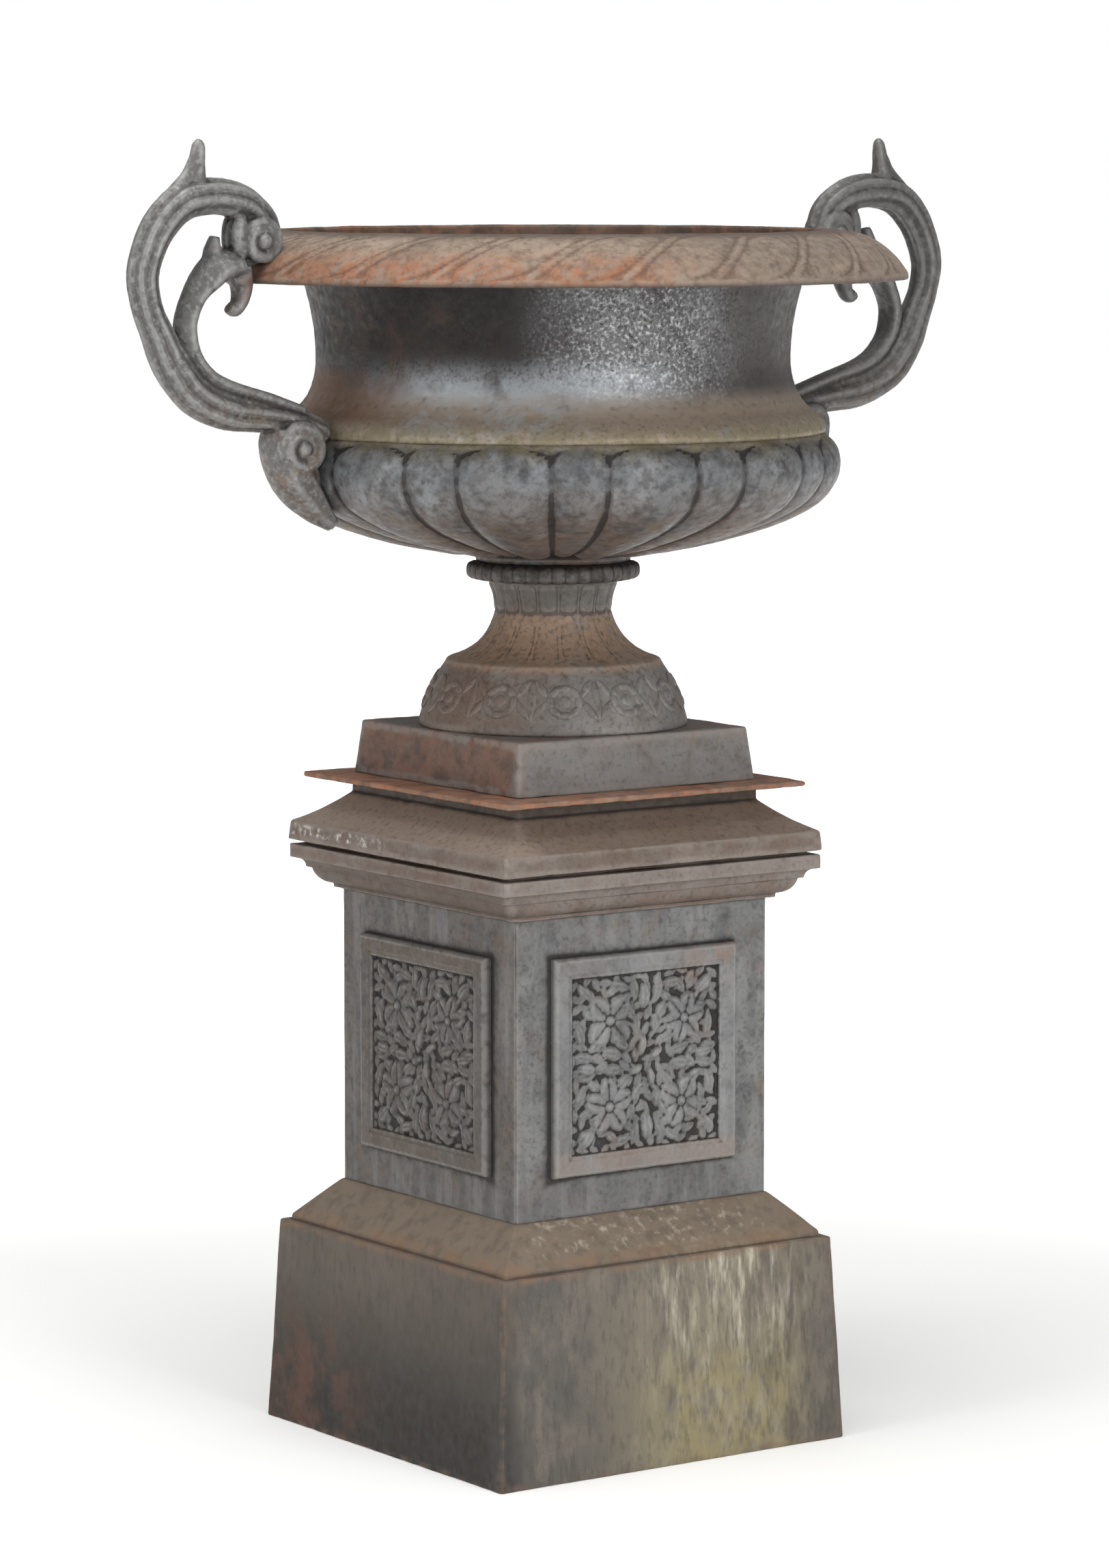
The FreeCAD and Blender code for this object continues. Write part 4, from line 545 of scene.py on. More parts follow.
# %% [markdown]
# ## Mouldings run round a square
# Plinth, cornice, cap, plate and block are each one profile carried round a square, as a plasterer runs a
# moulding. The profile is written as half-side and height in millimetres. A third number bends the run that
# follows: it is the height of the bow as a share of the run. Corners are eased, because sand castings have no
# sharp edges and weather rounds them further. Then chips are knocked out of the edges with a coarse noise.

# %% Eased profile
BOW_SHARES = np.linspace(0, 1, 10)[1:-1]
EASE_SHARES = (0, 0.25, 0.5, 0.75, 1)
LONGEST_CUT = 0.45


def bowed(corners):
    """The outline with its bent runs filled in."""
    points = []
    for corner, after in zip(corners, corners[1:] + corners[:1]):
        start, end = np.array(corner[:2], float), np.array(after[:2], float)
        points.append(start)
        if len(corner) > 2:
            run = end - start
            out = np.array([run[1], -run[0]])
            for share in BOW_SHARES:
                points.append(start + run * share + out * corner[2] * 4 * share * (1 - share))
    return np.array(points)


def eased(corners, radius, step):
    """The closed outline with rounded corners and no run longer than the step."""
    points = bowed(corners)
    soft = []
    for here, before, after in zip(points, np.roll(points, 1, 0), np.roll(points, -1, 0)):
        back, on = before - here, after - here
        cut = min(radius, LONGEST_CUT * np.linalg.norm(back), LONGEST_CUT * np.linalg.norm(on))
        start, end = here + back / np.linalg.norm(back) * cut, here + on / np.linalg.norm(on) * cut
        for t in EASE_SHARES:
            soft.append((1 - t) ** 2 * start + 2 * t * (1 - t) * here + t * t * end)
    filled = []
    for here, after in zip(soft, soft[1:] + soft[:1]):
        count = max(1, math.ceil(np.linalg.norm(after - here) / step))
        filled += [here + (after - here) * k / count for k in range(count)]
    return np.array(filled)


def smooth_line(points, step=2.5):
    """A smooth line through points with any number of columns, resampled at the step."""
    points = np.array(points, float)
    padded = np.vstack([2 * points[0] - points[1], points, 2 * points[-1] - points[-2]])
    line = []
    for before, here, after, later in zip(padded, padded[1:], padded[2:], padded[3:]):
        count = max(2, math.ceil(np.linalg.norm((after - here)[:2]) / step))
        for t in np.arange(count) / count:
            line.append(0.5 * (2 * here + (after - before) * t + (2 * before - 5 * here + 4 * after - later) * t ** 2
                               + (3 * here - before - 3 * after + later) * t ** 3))
    line.append(points[-1])
    return np.array(line)


print("a bent run is filled with", len(BOW_SHARES), "points")

# %% Square run
SIDE_POINTS, CORNER_POINTS = 48, 6
CHIP_SIZE_MM, CRUMB_SIZE_MM, CRUMB_SHARE, CHIP_FROM = 14, 4, 0.35, 0.1


def square_ring(half, corner):
    """Points round a square with eased corners, anticlockwise from the front left."""
    inner = half - corner
    side = np.stack([np.linspace(-inner, inner, SIDE_POINTS), np.full(SIDE_POINTS, -half)], 1)
    turn = np.radians(np.linspace(-90, 0, CORNER_POINTS + 2)[1:-1])
    bend = np.stack([inner + corner * np.cos(turn), -inner + corner * np.sin(turn)], 1)
    quarter = np.concatenate([side, bend])
    ring = []
    for number in range(4):
        angle = math.pi / 2 * number
        spin = np.array([[math.cos(angle), math.sin(angle)], [-math.sin(angle), math.cos(angle)]])
        ring.append(quarter @ spin)
    return np.concatenate(ring)


def square_run(name, profile, ease=2.0, corner=3.0, step=7.0, chip_mm=1.4):
    """A closed profile carried round a square, with chipped edges."""
    outline = eased(profile, ease, step)
    rings = []
    for half, height in outline:
        ring = square_ring(half, corner)
        rings.append(np.column_stack([ring, np.full(len(ring), height)]))
    piece = new_piece(name, np.array(rings) * MM, skin(len(outline), len(rings[0])))
    value = mark_hollows(piece, rounds=10)
    points = read_points(piece.data)
    bite = noise_at(points, CHIP_SIZE_MM) + CRUMB_SHARE * noise_at(points, CRUMB_SIZE_MM)
    bite = np.maximum(0, bite - CHIP_FROM)
    chip = np.maximum(0, -value) * bite * chip_mm * MM
    move_points(piece.data, points - read_normals(piece.data) * chip[:, None])
    piece.data.attributes.remove(piece.data.attributes["hollow"])
    cast_waves(piece)
    return piece


print("a ring round a square has", len(square_ring(100, 3)), "points")

# %% [markdown]
# ## Plinth, cornice and cap
# The plinth is a tall block that leans in slightly, with a narrow ledge and a sloping top that sheds rain. The
# cornice steps out from the die with a quarter round and a hollow, and the cap has an upright face, a roof that
# sags a little and a short neck under the urn's plate. A dark joint stays open between cornice and cap.

# %% Stand mouldings
plinth = square_run("plinth", [
    (197, 0), (188, 192), (180, 192), (180, 197), (145, 233), (97, 233), (97, 221), (140, 221), (176, 185), (185, 0),
])
# a casting wave must not dip under the floor
above_floor = read_points(plinth.data)
above_floor[:, 2] = np.maximum(above_floor[:, 2], 0)
move_points(plinth.data, above_floor)
finish_piece(plinth, "stand", ["plinth_base"], lime_streaked_iron)

cornice = square_run("cornice_moulding", [
    (97, 513), (150, 513), (150, 517, 0.19), (165, 532), (169, 532, -0.2), (177, 541), (180, 541), (180, 554),
    (162, 554), (162, 532), (143, 525), (97, 525),
], ease=1.2, step=5)
finish_piece(cornice, "stand", ["cornice"], cap_iron)

cap = square_run("cap_moulding", [
    (160, 554), (170, 554), (170, 558), (181, 558), (179.5, 576, -0.04), (137, 605), (137, 618), (95, 618),
    (95, 608), (127, 608), (127, 599), (160, 570),
], ease=1.6, step=5)
finish_piece(cap, "stand", ["cap"], cap_iron)

# %% [markdown]
# ## Plate and block under the urn
# A thin square plate with bare, pointed corners sticks out between the cap and the urn's block. It has rusted
# right through its paint. The block above it is hollow and leans in like the plinth.

# %% Plate and block
plate = square_run("base_plate", [(14, 618), (169.5, 618), (169.5, 623), (14, 623)], ease=1.5, corner=1.2,
                   chip_mm=2.5)
finish_piece(plate, "urn", ["urn_plate"], rusted_plate)

block = square_run("urn_block", [(123, 623), (135.5, 623), (130, 673), (60, 673), (60, 661), (118, 661)], ease=2.2)
finish_piece(block, "urn", ["square_base"], block_iron)

# %% [markdown]
# ## Die
# The die is a box of four plates that meet in mitres at the corners. One plate is drawn as a plan with eased
# outer corners and drawn upwards, and is then turned to the other three sides, so the noise in the material
# differs from side to side. Black dirt and painted shade lie along the frame of the relief, most of it at the
# front left corner.

# %% Four die plates
DIE_HALF, DIE_WALL, DIE_LOW, DIE_HIGH = 143, 12, 233, 513
RELIEF_HALF_X, RELIEF_HALF_Y, RELIEF_FRAME, RELIEF_MIDDLE = 104, 102, 21, 373
# reach of the dirt and painted shade: the narrow line at the frame's foot, the broader band, and the front left
# corner
SEAM_DIRT_AND_SHADE_MM, WIDE_DIRT_AND_SHADE_MM, CORNER_DIRT_AND_SHADE_MM = 2.4, 7, 60
SIDES, DIE_LEVELS = ("front", "right", "back", "left"), 95


def turned_copy(points, number):
    """Points turned by quarter turns about the upright axis."""
    angle = math.pi / 2 * number
    x, y, z = points[..., 0], points[..., 1], points[..., 2]
    return np.stack([x * math.cos(angle) - y * math.sin(angle), x * math.sin(angle) + y * math.cos(angle), z], -1)


plan = eased([(-DIE_HALF, -DIE_HALF), (DIE_HALF, -DIE_HALF), (DIE_HALF - DIE_WALL, DIE_WALL - DIE_HALF),
              (DIE_WALL - DIE_HALF, DIE_WALL - DIE_HALF)], radius=2.2, step=3)
levels = np.linspace(DIE_LOW, DIE_HIGH, DIE_LEVELS)
plate_points = np.array([np.column_stack([plan, np.full(len(plan), level)]) for level in levels]) * MM
flat_points = plate_points.reshape(-1, 3) / MM
past_sides = np.abs(flat_points[:, 0]) - RELIEF_HALF_X
past_ends = np.abs(flat_points[:, 2] - RELIEF_MIDDLE) - RELIEF_HALF_Y
past_frame = np.maximum(np.maximum(past_sides, past_ends), 0)
# dirt and painted shade round the relief's frame: a narrow dark line at its foot, and a broader band that is
# strongest near the front left corner
seam_dirt_and_shade, wide_dirt_and_shade = 0.75 * np.exp(-past_frame / SEAM_DIRT_AND_SHADE_MM), 0.6 * np.exp(-past_frame / WIDE_DIRT_AND_SHADE_MM)
sheet_faces = skin(len(levels), len(plan), close_rows=False).tolist()
low_cap = list(range(len(plan)))[::-1]
high_cap = [(len(levels) - 1) * len(plan) + number for number in range(len(plan))]
for number, side in enumerate(SIDES):
    spots = turned_copy(plate_points, number)
    piece = new_piece(f"die_plate_{side}", spots, sheet_faces + [low_cap, high_cap])
    from_corner = np.hypot(spots[..., 0] / MM + DIE_HALF, spots[..., 1] / MM + DIE_HALF).ravel()
    frame_dirt_and_shade = seam_dirt_and_shade + wide_dirt_and_shade * np.exp(-(from_corner / CORNER_DIRT_AND_SHADE_MM) ** 2)
    cast_waves(piece, depth_mm=0.4)
    finish_piece(piece, "stand", [f"die_panel_{side}"], panel_iron, dirt_and_shade=frame_dirt_and_shade)

# %% [markdown]
# ## Relief panels
# Each side carries a cast panel: a flat frame round a sunk field that is crowded with flowers, buds and leaves.
# Such low relief has no undercuts, because the pattern must pull out of the sand, so it is exactly a height map:
# one height for each point of the field. Leaves and petals are small hills, and the highest hill wins at each
# point, which makes them overlap as carved leaves do. Small leaves with a fixed seed fill the ground, and a few
# rounds of smoothing wear the edges down. The hollow value, and a little dirt with painted shade on bare ground,
# blacken the gaps.

# %% Hills for petals, leaves and stems
VEIN_SHARE, TAPER_POWER, FLOWER_HEIGHT, PETAL_DIP = 0.16, 1.6, 6.2, 0.5


def hill(x, y, place, turn, length, width, height, point=0.0, vein=0.0):
    """A petal (round) or leaf (pointed) with its long axis turned by degrees, in millimetres."""
    angle = math.radians(turn)
    along = ((x - place[0]) * math.cos(angle) + (y - place[1]) * math.sin(angle)) / (length / 2)
    aside = ((y - place[1]) * math.cos(angle) - (x - place[0]) * math.sin(angle)) / (width / 2)
    taper = np.clip(1 - point * np.abs(along) ** TAPER_POWER, 0.05, 1)
    inside = np.clip(1 - along ** 2 - (aside / taper) ** 2, 0, 1)
    groove = vein * np.exp(-(aside / VEIN_SHARE) ** 2) * (inside > 0)
    return height * np.sqrt(inside) - groove


def flower(x, y, place, radius, turn, petals):
    """Broad creased petals that overlap round a boss."""
    top = np.zeros_like(x)
    step = 360 / petals
    for number in range(petals):
        angle = turn + step * number
        out = 0.54 * radius
        spot = (place[0] + out * math.cos(math.radians(angle)), place[1] + out * math.sin(math.radians(angle)))
        width = radius * (0.55 + 1.6 / petals)
        height = FLOWER_HEIGHT - PETAL_DIP * (number % 2)
        petal = hill(x, y, spot, angle, radius * 1.02, width, height, point=0.2, vein=1.3)
        cup = hill(x, y, spot, angle, radius * 0.6, width * 0.5, 1.2)
        top = np.maximum(top, petal - cup)
    return np.maximum(top, hill(x, y, place, 0, radius * 0.4, radius * 0.4, FLOWER_HEIGHT + 0.6))


def stem(x, y, places, width, height):
    """A round ridge through a few places."""
    top = np.zeros_like(x)
    for (x0, y0), (x1, y1) in zip(places, places[1:]):
        run = math.hypot(x1 - x0, y1 - y0)
        share = np.clip(((x - x0) * (x1 - x0) + (y - y0) * (y1 - y0)) / run ** 2, 0, 1)
        away = np.hypot(x - x0 - share * (x1 - x0), y - y0 - share * (y1 - y0)) / (width / 2)
        top = np.maximum(top, height * np.sqrt(np.clip(1 - away ** 2, 0, 1)))
    return top


print("a leaf is", float(hill(0.0, 0.0, (0, 0), 0, 20, 10, 3.0)), "mm high in its middle")

# %% Places of flowers, buds and leaves
# leaves of one quarter and buds: across, up, turn in degrees, length and width
LEAVES = [
    (14, 66, 70, 30, 13), (30, 72, 12, 30, 12), (70, 66, 45, 24, 13), (73, 28, 80, 30, 13), (68, 8, 20, 28, 14),
    (58, 18, -35, 26, 12), (20, 46, 62, 28, 14), (26, 20, 40, 26, 13), (12, 34, 100, 22, 11), (40, 8, 5, 28, 14),
    (38, 68, -40, 22, 11), (64, 46, 12, 20, 11), (22, 60, -25, 22, 11), (52, 4, 30, 20, 11),
]
# flowers: across, up, radius, turn in degrees and number of petals
FLOWERS = [(-41, 40, 29, 45, 4), (43, 36, 25, 12, 6), (-42, -40, 28, 20, 5), (40, -42, 27, 60, 4)]
BUDS = [(-2, 60, 88, 26, 15), (1, -62, 93, 27, 16), (66, 2, 12, 24, 13), (-67, -3, -8, 22, 13), (-4, 14, 80, 22, 10),
        (6, -16, 100, 20, 9), (12, 6, 30, 18, 9), (-11, -8, 20, 18, 9), (66, 66, 45, 24, 13), (-66, -68, 50, 24, 13)]
# stems of one quarter: places, width and height
STEMS = [([(6, 22), (16, 34), (30, 40), (44, 42)], 6, 3.6), ([(44, 42), (60, 58), (74, 74)], 6, 3.4)]
print(len(LEAVES) * 4, "leaves,", len(FLOWERS), "flowers and", len(BUDS), "buds")

# %% Heights of the field and its frame
RELIEF_COLUMNS, RELIEF_ROWS = 236, 232
SCATTER_SEED, SCATTER_STEP, SCATTER_X, SCATTER_Y = 11, 12, 81, 79
GROUND, WEAR_ROUNDS = 2.6, 3
# distance from the outer edge of the frame, and the height there
FRAME_STEPS = ([0, 0.4, 2.6, 14.5, 16, 19.5, 21], [0, 5.5, 8, 8, 7.2, 6.6, GROUND])
columns = np.linspace(-RELIEF_HALF_X, RELIEF_HALF_X, RELIEF_COLUMNS)
rows = np.linspace(-RELIEF_HALF_Y, RELIEF_HALF_Y, RELIEF_ROWS)
X, Y = np.meshgrid(columns, rows)
ornament = np.zeros_like(X)
scatter = np.random.default_rng(SCATTER_SEED)
for across in np.arange(-SCATTER_X, SCATTER_X + 1, SCATTER_STEP):
    for up in np.arange(-SCATTER_Y, SCATTER_Y + 1, SCATTER_STEP):
        shift_x, shift_y, turn = scatter.uniform((-4, -4, 0), (4, 4, 180))
        leaf = hill(X, Y, (across + shift_x, up + shift_y), turn, 20, 9.5, 3.0, point=0.6, vein=0.7)
        ornament = np.maximum(ornament, leaf)
for sign_x in (1, -1):
    for sign_y in (1, -1):
        x, y = X * sign_x, Y * sign_y
        for places, width, height in STEMS:
            ornament = np.maximum(ornament, stem(x, y, places, width, height))
        for across, up, turn, length, width in LEAVES:
            place = np.array((across, up)) + scatter.uniform(-2.5, 2.5, 2)
            turn += scatter.uniform(-14, 14)
            ornament = np.maximum(ornament, hill(x, y, place, turn, length, width, 4.4, point=0.7, vein=1.1))
for across, up, radius, turn, petals in FLOWERS:
    ornament = np.maximum(ornament, flower(X, Y, (across, up), radius, turn, petals))
for across, up, turn, length, width in BUDS:
    bud = hill(X, Y, (across, up), turn, length, width, FLOWER_HEIGHT, point=0.15, vein=1.3)
    ornament = np.maximum(ornament, bud)
for _ in range(WEAR_ROUNDS):
    ornament[1:-1, 1:-1] = (4 * ornament[1:-1, 1:-1] + ornament[:-2, 1:-1] + ornament[2:, 1:-1]
                            + ornament[1:-1, :-2] + ornament[1:-1, 2:]) / 8

rim_gap = np.minimum(RELIEF_HALF_X - np.abs(X), RELIEF_HALF_Y - np.abs(Y))
border = np.interp(rim_gap, *FRAME_STEPS)
height = np.where(rim_gap < RELIEF_FRAME, border, GROUND + ornament)
print("relief stands up to", round(float(height.max()), 1), "mm off the die")

# %% Four relief panels
front = np.stack([X, -DIE_HALF - height, RELIEF_MIDDLE + Y], -1) * MM
# dirt and painted shade on the bare ground of the sunk field
bare_ground = (rim_gap > RELIEF_FRAME - 2) & (ornament < 0.8)
field_dirt_and_shade = np.where(bare_ground, 0.4, 0.0).ravel()
index = np.arange(X.size).reshape(X.shape)
field = np.stack([index[:-1, :-1], index[:-1, 1:], index[1:, 1:], index[1:, :-1]], -1).reshape(-1, 4).tolist()
around = [*index[0], *index[1:, -1], *index[-1, -2::-1], *index[-2:0:-1, 0]]
for number, side in enumerate(SIDES):
    piece = new_piece(f"relief_{side}", turned_copy(front, number), field + [around[::-1]])
    cast_waves(piece, depth_mm=0.3, size_mm=30, fine_mm=0.35, fine_size_mm=4)
    finish_piece(piece, "stand", [f"relief_panel_{side}"], panel_iron, depth_mm=1.1, rounds=24,
                 dirt_and_shade=field_dirt_and_shade)

# %% [markdown]
# ## Turned pieces with lobes
# Collar, foot, bowl, neck and rim are all turned about the urn's axis, and most carry lobes: swellings side by
# side, split by grooves. That is a rule, so Geometry Nodes make them. The tree takes the outline as a line of
# points, reads it with Sample Curve, and bends a grid round the axis. Each band of lobes then pushes the surface
# out along the outline's own normal. A lobe has a round back, it can lean, and it ends in a round arch.

# %% A node group for one band of lobes
LOBE_INPUTS = ("Turn", "Along", "Count", "Wide Share", "Lean", "Start", "End", "Arch", "Narrow Height", "Depth")
LOBE_STEPS = [
    # where the point lies between the middles of a wide and a narrow lobe
    ("slide", "MULTIPLY", "Lean", "Along"), ("turns", "MULTIPLY_ADD", "Turn", "Count", "slide"),
    ("phase", "FRACT", "turns"), ("side", "SUBTRACT", "phase", 0.5), ("from wide", "ABSOLUTE", "side"),
    ("from narrow", "SUBTRACT", 0.5, "from wide"), ("half wide", "MULTIPLY", "Wide Share", 0.5),
    ("half rest", "SUBTRACT", 0.5, "half wide"), ("half narrow", "MAXIMUM", "half rest", 0.001),
    ("across wide", "DIVIDE", "from wide", "half wide"), ("across narrow", "DIVIDE", "from narrow", "half narrow"),
    # how far into the round arch at either end
    ("to end", "SUBTRACT", "End", "Along"), ("to start", "SUBTRACT", "Along", "Start"),
    ("to tip", "MINIMUM", "to end", "to start"), ("tip share", "DIVIDE", "to tip", "Arch"),
    ("tip", "SUBTRACT", 1.0, "tip share"), ("tip", "MAXIMUM", "tip", 0.0), ("tip", "MINIMUM", "tip", 1.0),
    ("arch", "MULTIPLY", "tip", "tip"),
    # the round backs, and the higher one of the two
    ("wide sum", "MULTIPLY_ADD", "across wide", "across wide", "arch"), ("wide rest", "SUBTRACT", 1.0, "wide sum"),
    ("wide rest", "MAXIMUM", "wide rest", 0.0), ("wide back", "SQRT", "wide rest"),
    ("narrow sum", "MULTIPLY_ADD", "across narrow", "across narrow", "arch"),
    ("narrow rest", "SUBTRACT", 1.0, "narrow sum"), ("narrow rest", "MAXIMUM", "narrow rest", 0.0),
    ("narrow back", "SQRT", "narrow rest"), ("low back", "MULTIPLY", "narrow back", "Narrow Height"),
    ("back", "MAXIMUM", "wide back", "low back"), ("push", "MULTIPLY", "back", "Depth"),
]


def lobe_band_group():
    tree = bpy.data.node_groups.new("lobe_band", "GeometryNodeTree")
    for name in LOBE_INPUTS:
        tree.interface.new_socket(name, in_out="INPUT", socket_type="NodeSocketFloat")
    tree.interface.new_socket("Push", in_out="OUTPUT", socket_type="NodeSocketFloat")
    given = add(tree, "NodeGroupInput").outputs
    value = {name: given[name] for name in LOBE_INPUTS}
    for name, operation, *terms in LOBE_STEPS:
        inputs = {place: value.get(term, term) for place, term in enumerate(terms)}
        value[name] = add(tree, "ShaderNodeMath", inputs, operation=operation)
    add(tree, "NodeGroupOutput", {"Push": value["push"]})
    return tree


lobe_band = lobe_band_group()
print("lobe band inputs", [item.name for item in lobe_band.interface.items_tree if item.in_out == "INPUT"])

# %% The tree that turns an outline
def turning_tree(bands):
    tree = bpy.data.node_groups.new("turned_iron", "GeometryNodeTree")
    for name, kind in (("Geometry", "Geometry"), ("Round", "Int"), ("Rows", "Int"), ("Material", "Material")):
        tree.interface.new_socket(name, in_out="INPUT", socket_type=f"NodeSocket{kind}")
    tree.interface.new_socket("Geometry", in_out="OUTPUT", socket_type="NodeSocketGeometry")
    given = add(tree, "NodeGroupInput").outputs
    outline = add(tree, "GeometryNodeMeshToCurve", {"Mesh": given["Geometry"]})
    grid = add(tree, "GeometryNodeMeshGrid", {"Size X": 1.0, "Size Y": 1.0, "Vertices X": given["Round"],
                                              "Vertices Y": given["Rows"]})
    place = add(tree, "ShaderNodeSeparateXYZ", {0: add(tree, "GeometryNodeInputPosition")})
    turn = add(tree, "ShaderNodeMath", {0: place.outputs[0], 1: 0.5}, operation="ADD")
    along = add(tree, "ShaderNodeMath", {0: place.outputs[1], 1: 0.5}, operation="ADD")
    sample = add(tree, "GeometryNodeSampleCurve", {"Curves": outline, "Factor": along}, mode="FACTOR",
                 data_type="FLOAT")
    spot = add(tree, "ShaderNodeSeparateXYZ", {0: sample.outputs["Position"]})
    run = add(tree, "ShaderNodeSeparateXYZ", {0: sample.outputs["Tangent"]})
    push = 0.0
    for band in bands:
        swell = add(tree, "GeometryNodeGroup", {"Turn": turn, "Along": along, **band}, node_tree=lobe_band)
        push = add(tree, "ShaderNodeMath", {0: swell, 1: push}, operation="ADD")
    radius = add(tree, "ShaderNodeMath", {0: run.outputs[2], 1: push, 2: spot.outputs[0]}, operation="MULTIPLY_ADD")
    sink = add(tree, "ShaderNodeMath", {0: run.outputs[0], 1: push}, operation="MULTIPLY")
    lift = add(tree, "ShaderNodeMath", {0: spot.outputs[2], 1: sink}, operation="SUBTRACT")
    angle = add(tree, "ShaderNodeMath", {0: turn, 1: math.tau}, operation="MULTIPLY")
    flat = add(tree, "ShaderNodeCombineXYZ", {0: radius, 2: lift})
    put = add(tree, "ShaderNodeVectorRotate", {"Vector": flat, "Angle": angle}, rotation_type="Z_AXIS")
    bent = add(tree, "GeometryNodeSetPosition", {"Geometry": grid, "Position": put})
    closed = add(tree, "GeometryNodeMergeByDistance", {"Geometry": bent, "Distance": 0.01 * MM})
    real = add(tree, "GeometryNodeRealizeInstances", {"Geometry": closed})
    done = add(tree, "GeometryNodeSetMaterial", {"Geometry": real, "Material": given["Material"]})
    add(tree, "NodeGroupOutput", {"Geometry": done})
    return tree


print("one band of lobes takes", ", ".join(LOBE_INPUTS[2:]))

# %% An outline turned about the axis
def made_by_nodes(name, mesh, tree, values):
    """Runs a node tree on a mesh and keeps the result as a plain mesh piece."""
    holder = bpy.data.objects.new(name + "_holder", mesh)
    scene.collection.objects.link(holder)
    modifier = holder.modifiers.new("nodes", "NODES")
    modifier.node_group = tree
    for item in tree.interface.items_tree:
        if item.in_out == "INPUT" and item.name in values:
            modifier[item.identifier] = values[item.name]
    graph = bpy.context.evaluated_depsgraph_get()
    result = bpy.data.meshes.new_from_object(holder.evaluated_get(graph))
    bpy.data.objects.remove(holder)
    result.name = name
    result.shade_smooth()
    piece = bpy.data.objects.new(name, result)
    scene.collection.objects.link(piece)
    return piece


def turned(name, outline, bands, material, around, rows):
    """A closed outline (radius and height in mm) turned about the axis, with bands of lobes."""
    line = bpy.data.meshes.new(name + "_outline")
    points = [(r * MM, 0, z * MM) for r, z in outline]
    points.append(points[0])
    line.from_pydata(points, [(k, k + 1) for k in range(len(points) - 1)], [])
    return made_by_nodes(name, line, turning_tree(bands), {"Round": around, "Rows": rows, "Material": material})


def share_along(outline, target):
    """Where along a closed outline, as a share of its length, the point nearest to the target lies."""
    closed = np.vstack([outline, outline[:1]])
    steps = np.concatenate([[0], np.cumsum(np.linalg.norm(np.diff(closed, axis=0), axis=1))])
    nearest = np.argmin(np.linalg.norm(closed - np.array(target), axis=1))
    return float(steps[nearest] / steps[-1])


def lobes(outline, first, last, count, wide, arch, narrow, depth_mm, lean=0.0):
    """Inputs of a band of lobes that runs along the outline from the first place to the last."""
    return {"Count": count, "Wide Share": wide, "Lean": lean, "Start": share_along(outline, first),
            "End": share_along(outline, last), "Arch": arch, "Narrow Height": narrow, "Depth": depth_mm * MM}


unit_square = np.array([(0, 0), (1, 0), (1, 1), (0, 1)])
print("the far corner of a square lies at", share_along(unit_square, (1, 1)), "of its outline")

# %% [markdown]
# ## Rust inside
# Bowl, neck and rim have held wet soil, so they are dark with rust inside. Inside and outside are one casting, so
# the piece stays whole, and only the faces that look towards the axis take a second material.

# %% A second material inside
def line_inside(piece, material, ledge=math.inf):
    """Gives faces that look towards the axis, and all above an inner ledge, their own material."""
    piece.data.materials.append(material)
    inside_slot = len(piece.data.materials) - 1
    lined = 0
    for face in piece.data.polygons:
        if face.normal.xy.dot(face.center.xy) < 0 or face.center.z > ledge:
            face.material_index = inside_slot
            lined += 1
    print(piece.name, "has", lined, "faces inside")


# %% [markdown]
# ## Bowl
# The belly has twelve wide lobes and twelve narrow ones between them, as on a melon. The wide ones swell more
# and end in an arch under the shoulder. The outline runs up the outside, over the top edge and down the inside.

# %% Lobed bowl
BELLY_UNDER = [(8.5, 826), (71, 826), (73, 828), (73, 833)]
BELLY_OUTSIDE = [(78, 836.5), (91, 839), (149, 850), (207, 867.5), (244, 886), (259, 904), (262.5, 918), (260.5, 931),
                 (256, 941), (253.5, 947)]
BELLY_INSIDE = [(245, 947), (246.5, 918), (243.7, 908), (228.6, 891), (190, 875), (133, 860), (58, 846), (8.5, 846)]
belly_line = np.vstack([BELLY_UNDER, smooth_line(BELLY_OUTSIDE), smooth_line(BELLY_INSIDE, step=4)])
bowl = turned("lobed_bowl", belly_line, [
    lobes(belly_line, (80, 836), (253, 945), count=12, wide=0.62, arch=0.035, narrow=0.62, depth_mm=6.5),
], pitted_iron, around=481, rows=200)
cast_waves(bowl, depth_mm=0.6, size_mm=50, fine_mm=0.25, fine_size_mm=7)
line_inside(bowl, inner_rust)
finish_piece(bowl, "urn", ["bowl"], pitted_iron)

# %% [markdown]
# ## Neck
# The neck is a plain flared ring above the shoulder. Its skin is rough with pits, so its fine casting wave is
# deeper than that of the other turned pieces. A flange on top carries the rim.

# %% Neck
NECK_OUTSIDE = [(245, 947), (253.5, 946.6), (254.5, 951.5), (251, 959), (245, 965), (237, 971), (230, 979),
                (225.5, 988), (222.5, 999), (221, 1010), (221.3, 1025), (223, 1045), (226.5, 1065), (231, 1083),
                (236, 1098)]
NECK_INSIDE = [(264, 1098), (264, 1106), (225, 1106), (225, 1098), (210, 1008), (215.5, 976)]
# all above this height is the flange's top, which is seen only from inside
NECK_LEDGE = 1.102
neck_line = eased(NECK_OUTSIDE + NECK_INSIDE, radius=4, step=4)
neck = turned("neck_ring", neck_line, [], pitted_iron, around=361, rows=200)
cast_waves(neck, depth_mm=0.6, size_mm=60, fine_mm=0.3, fine_size_mm=5)
line_inside(neck, inner_rust, NECK_LEDGE)
finish_piece(neck, "urn", ["neck"], pitted_iron)

# %% [markdown]
# ## Rim
# The rim droops like a turned-down collar. Round its face run leaning tongues, a plain cousin of the
# egg-and-dart border, so the lobe band gets a lean: the phase slides round as it goes up.

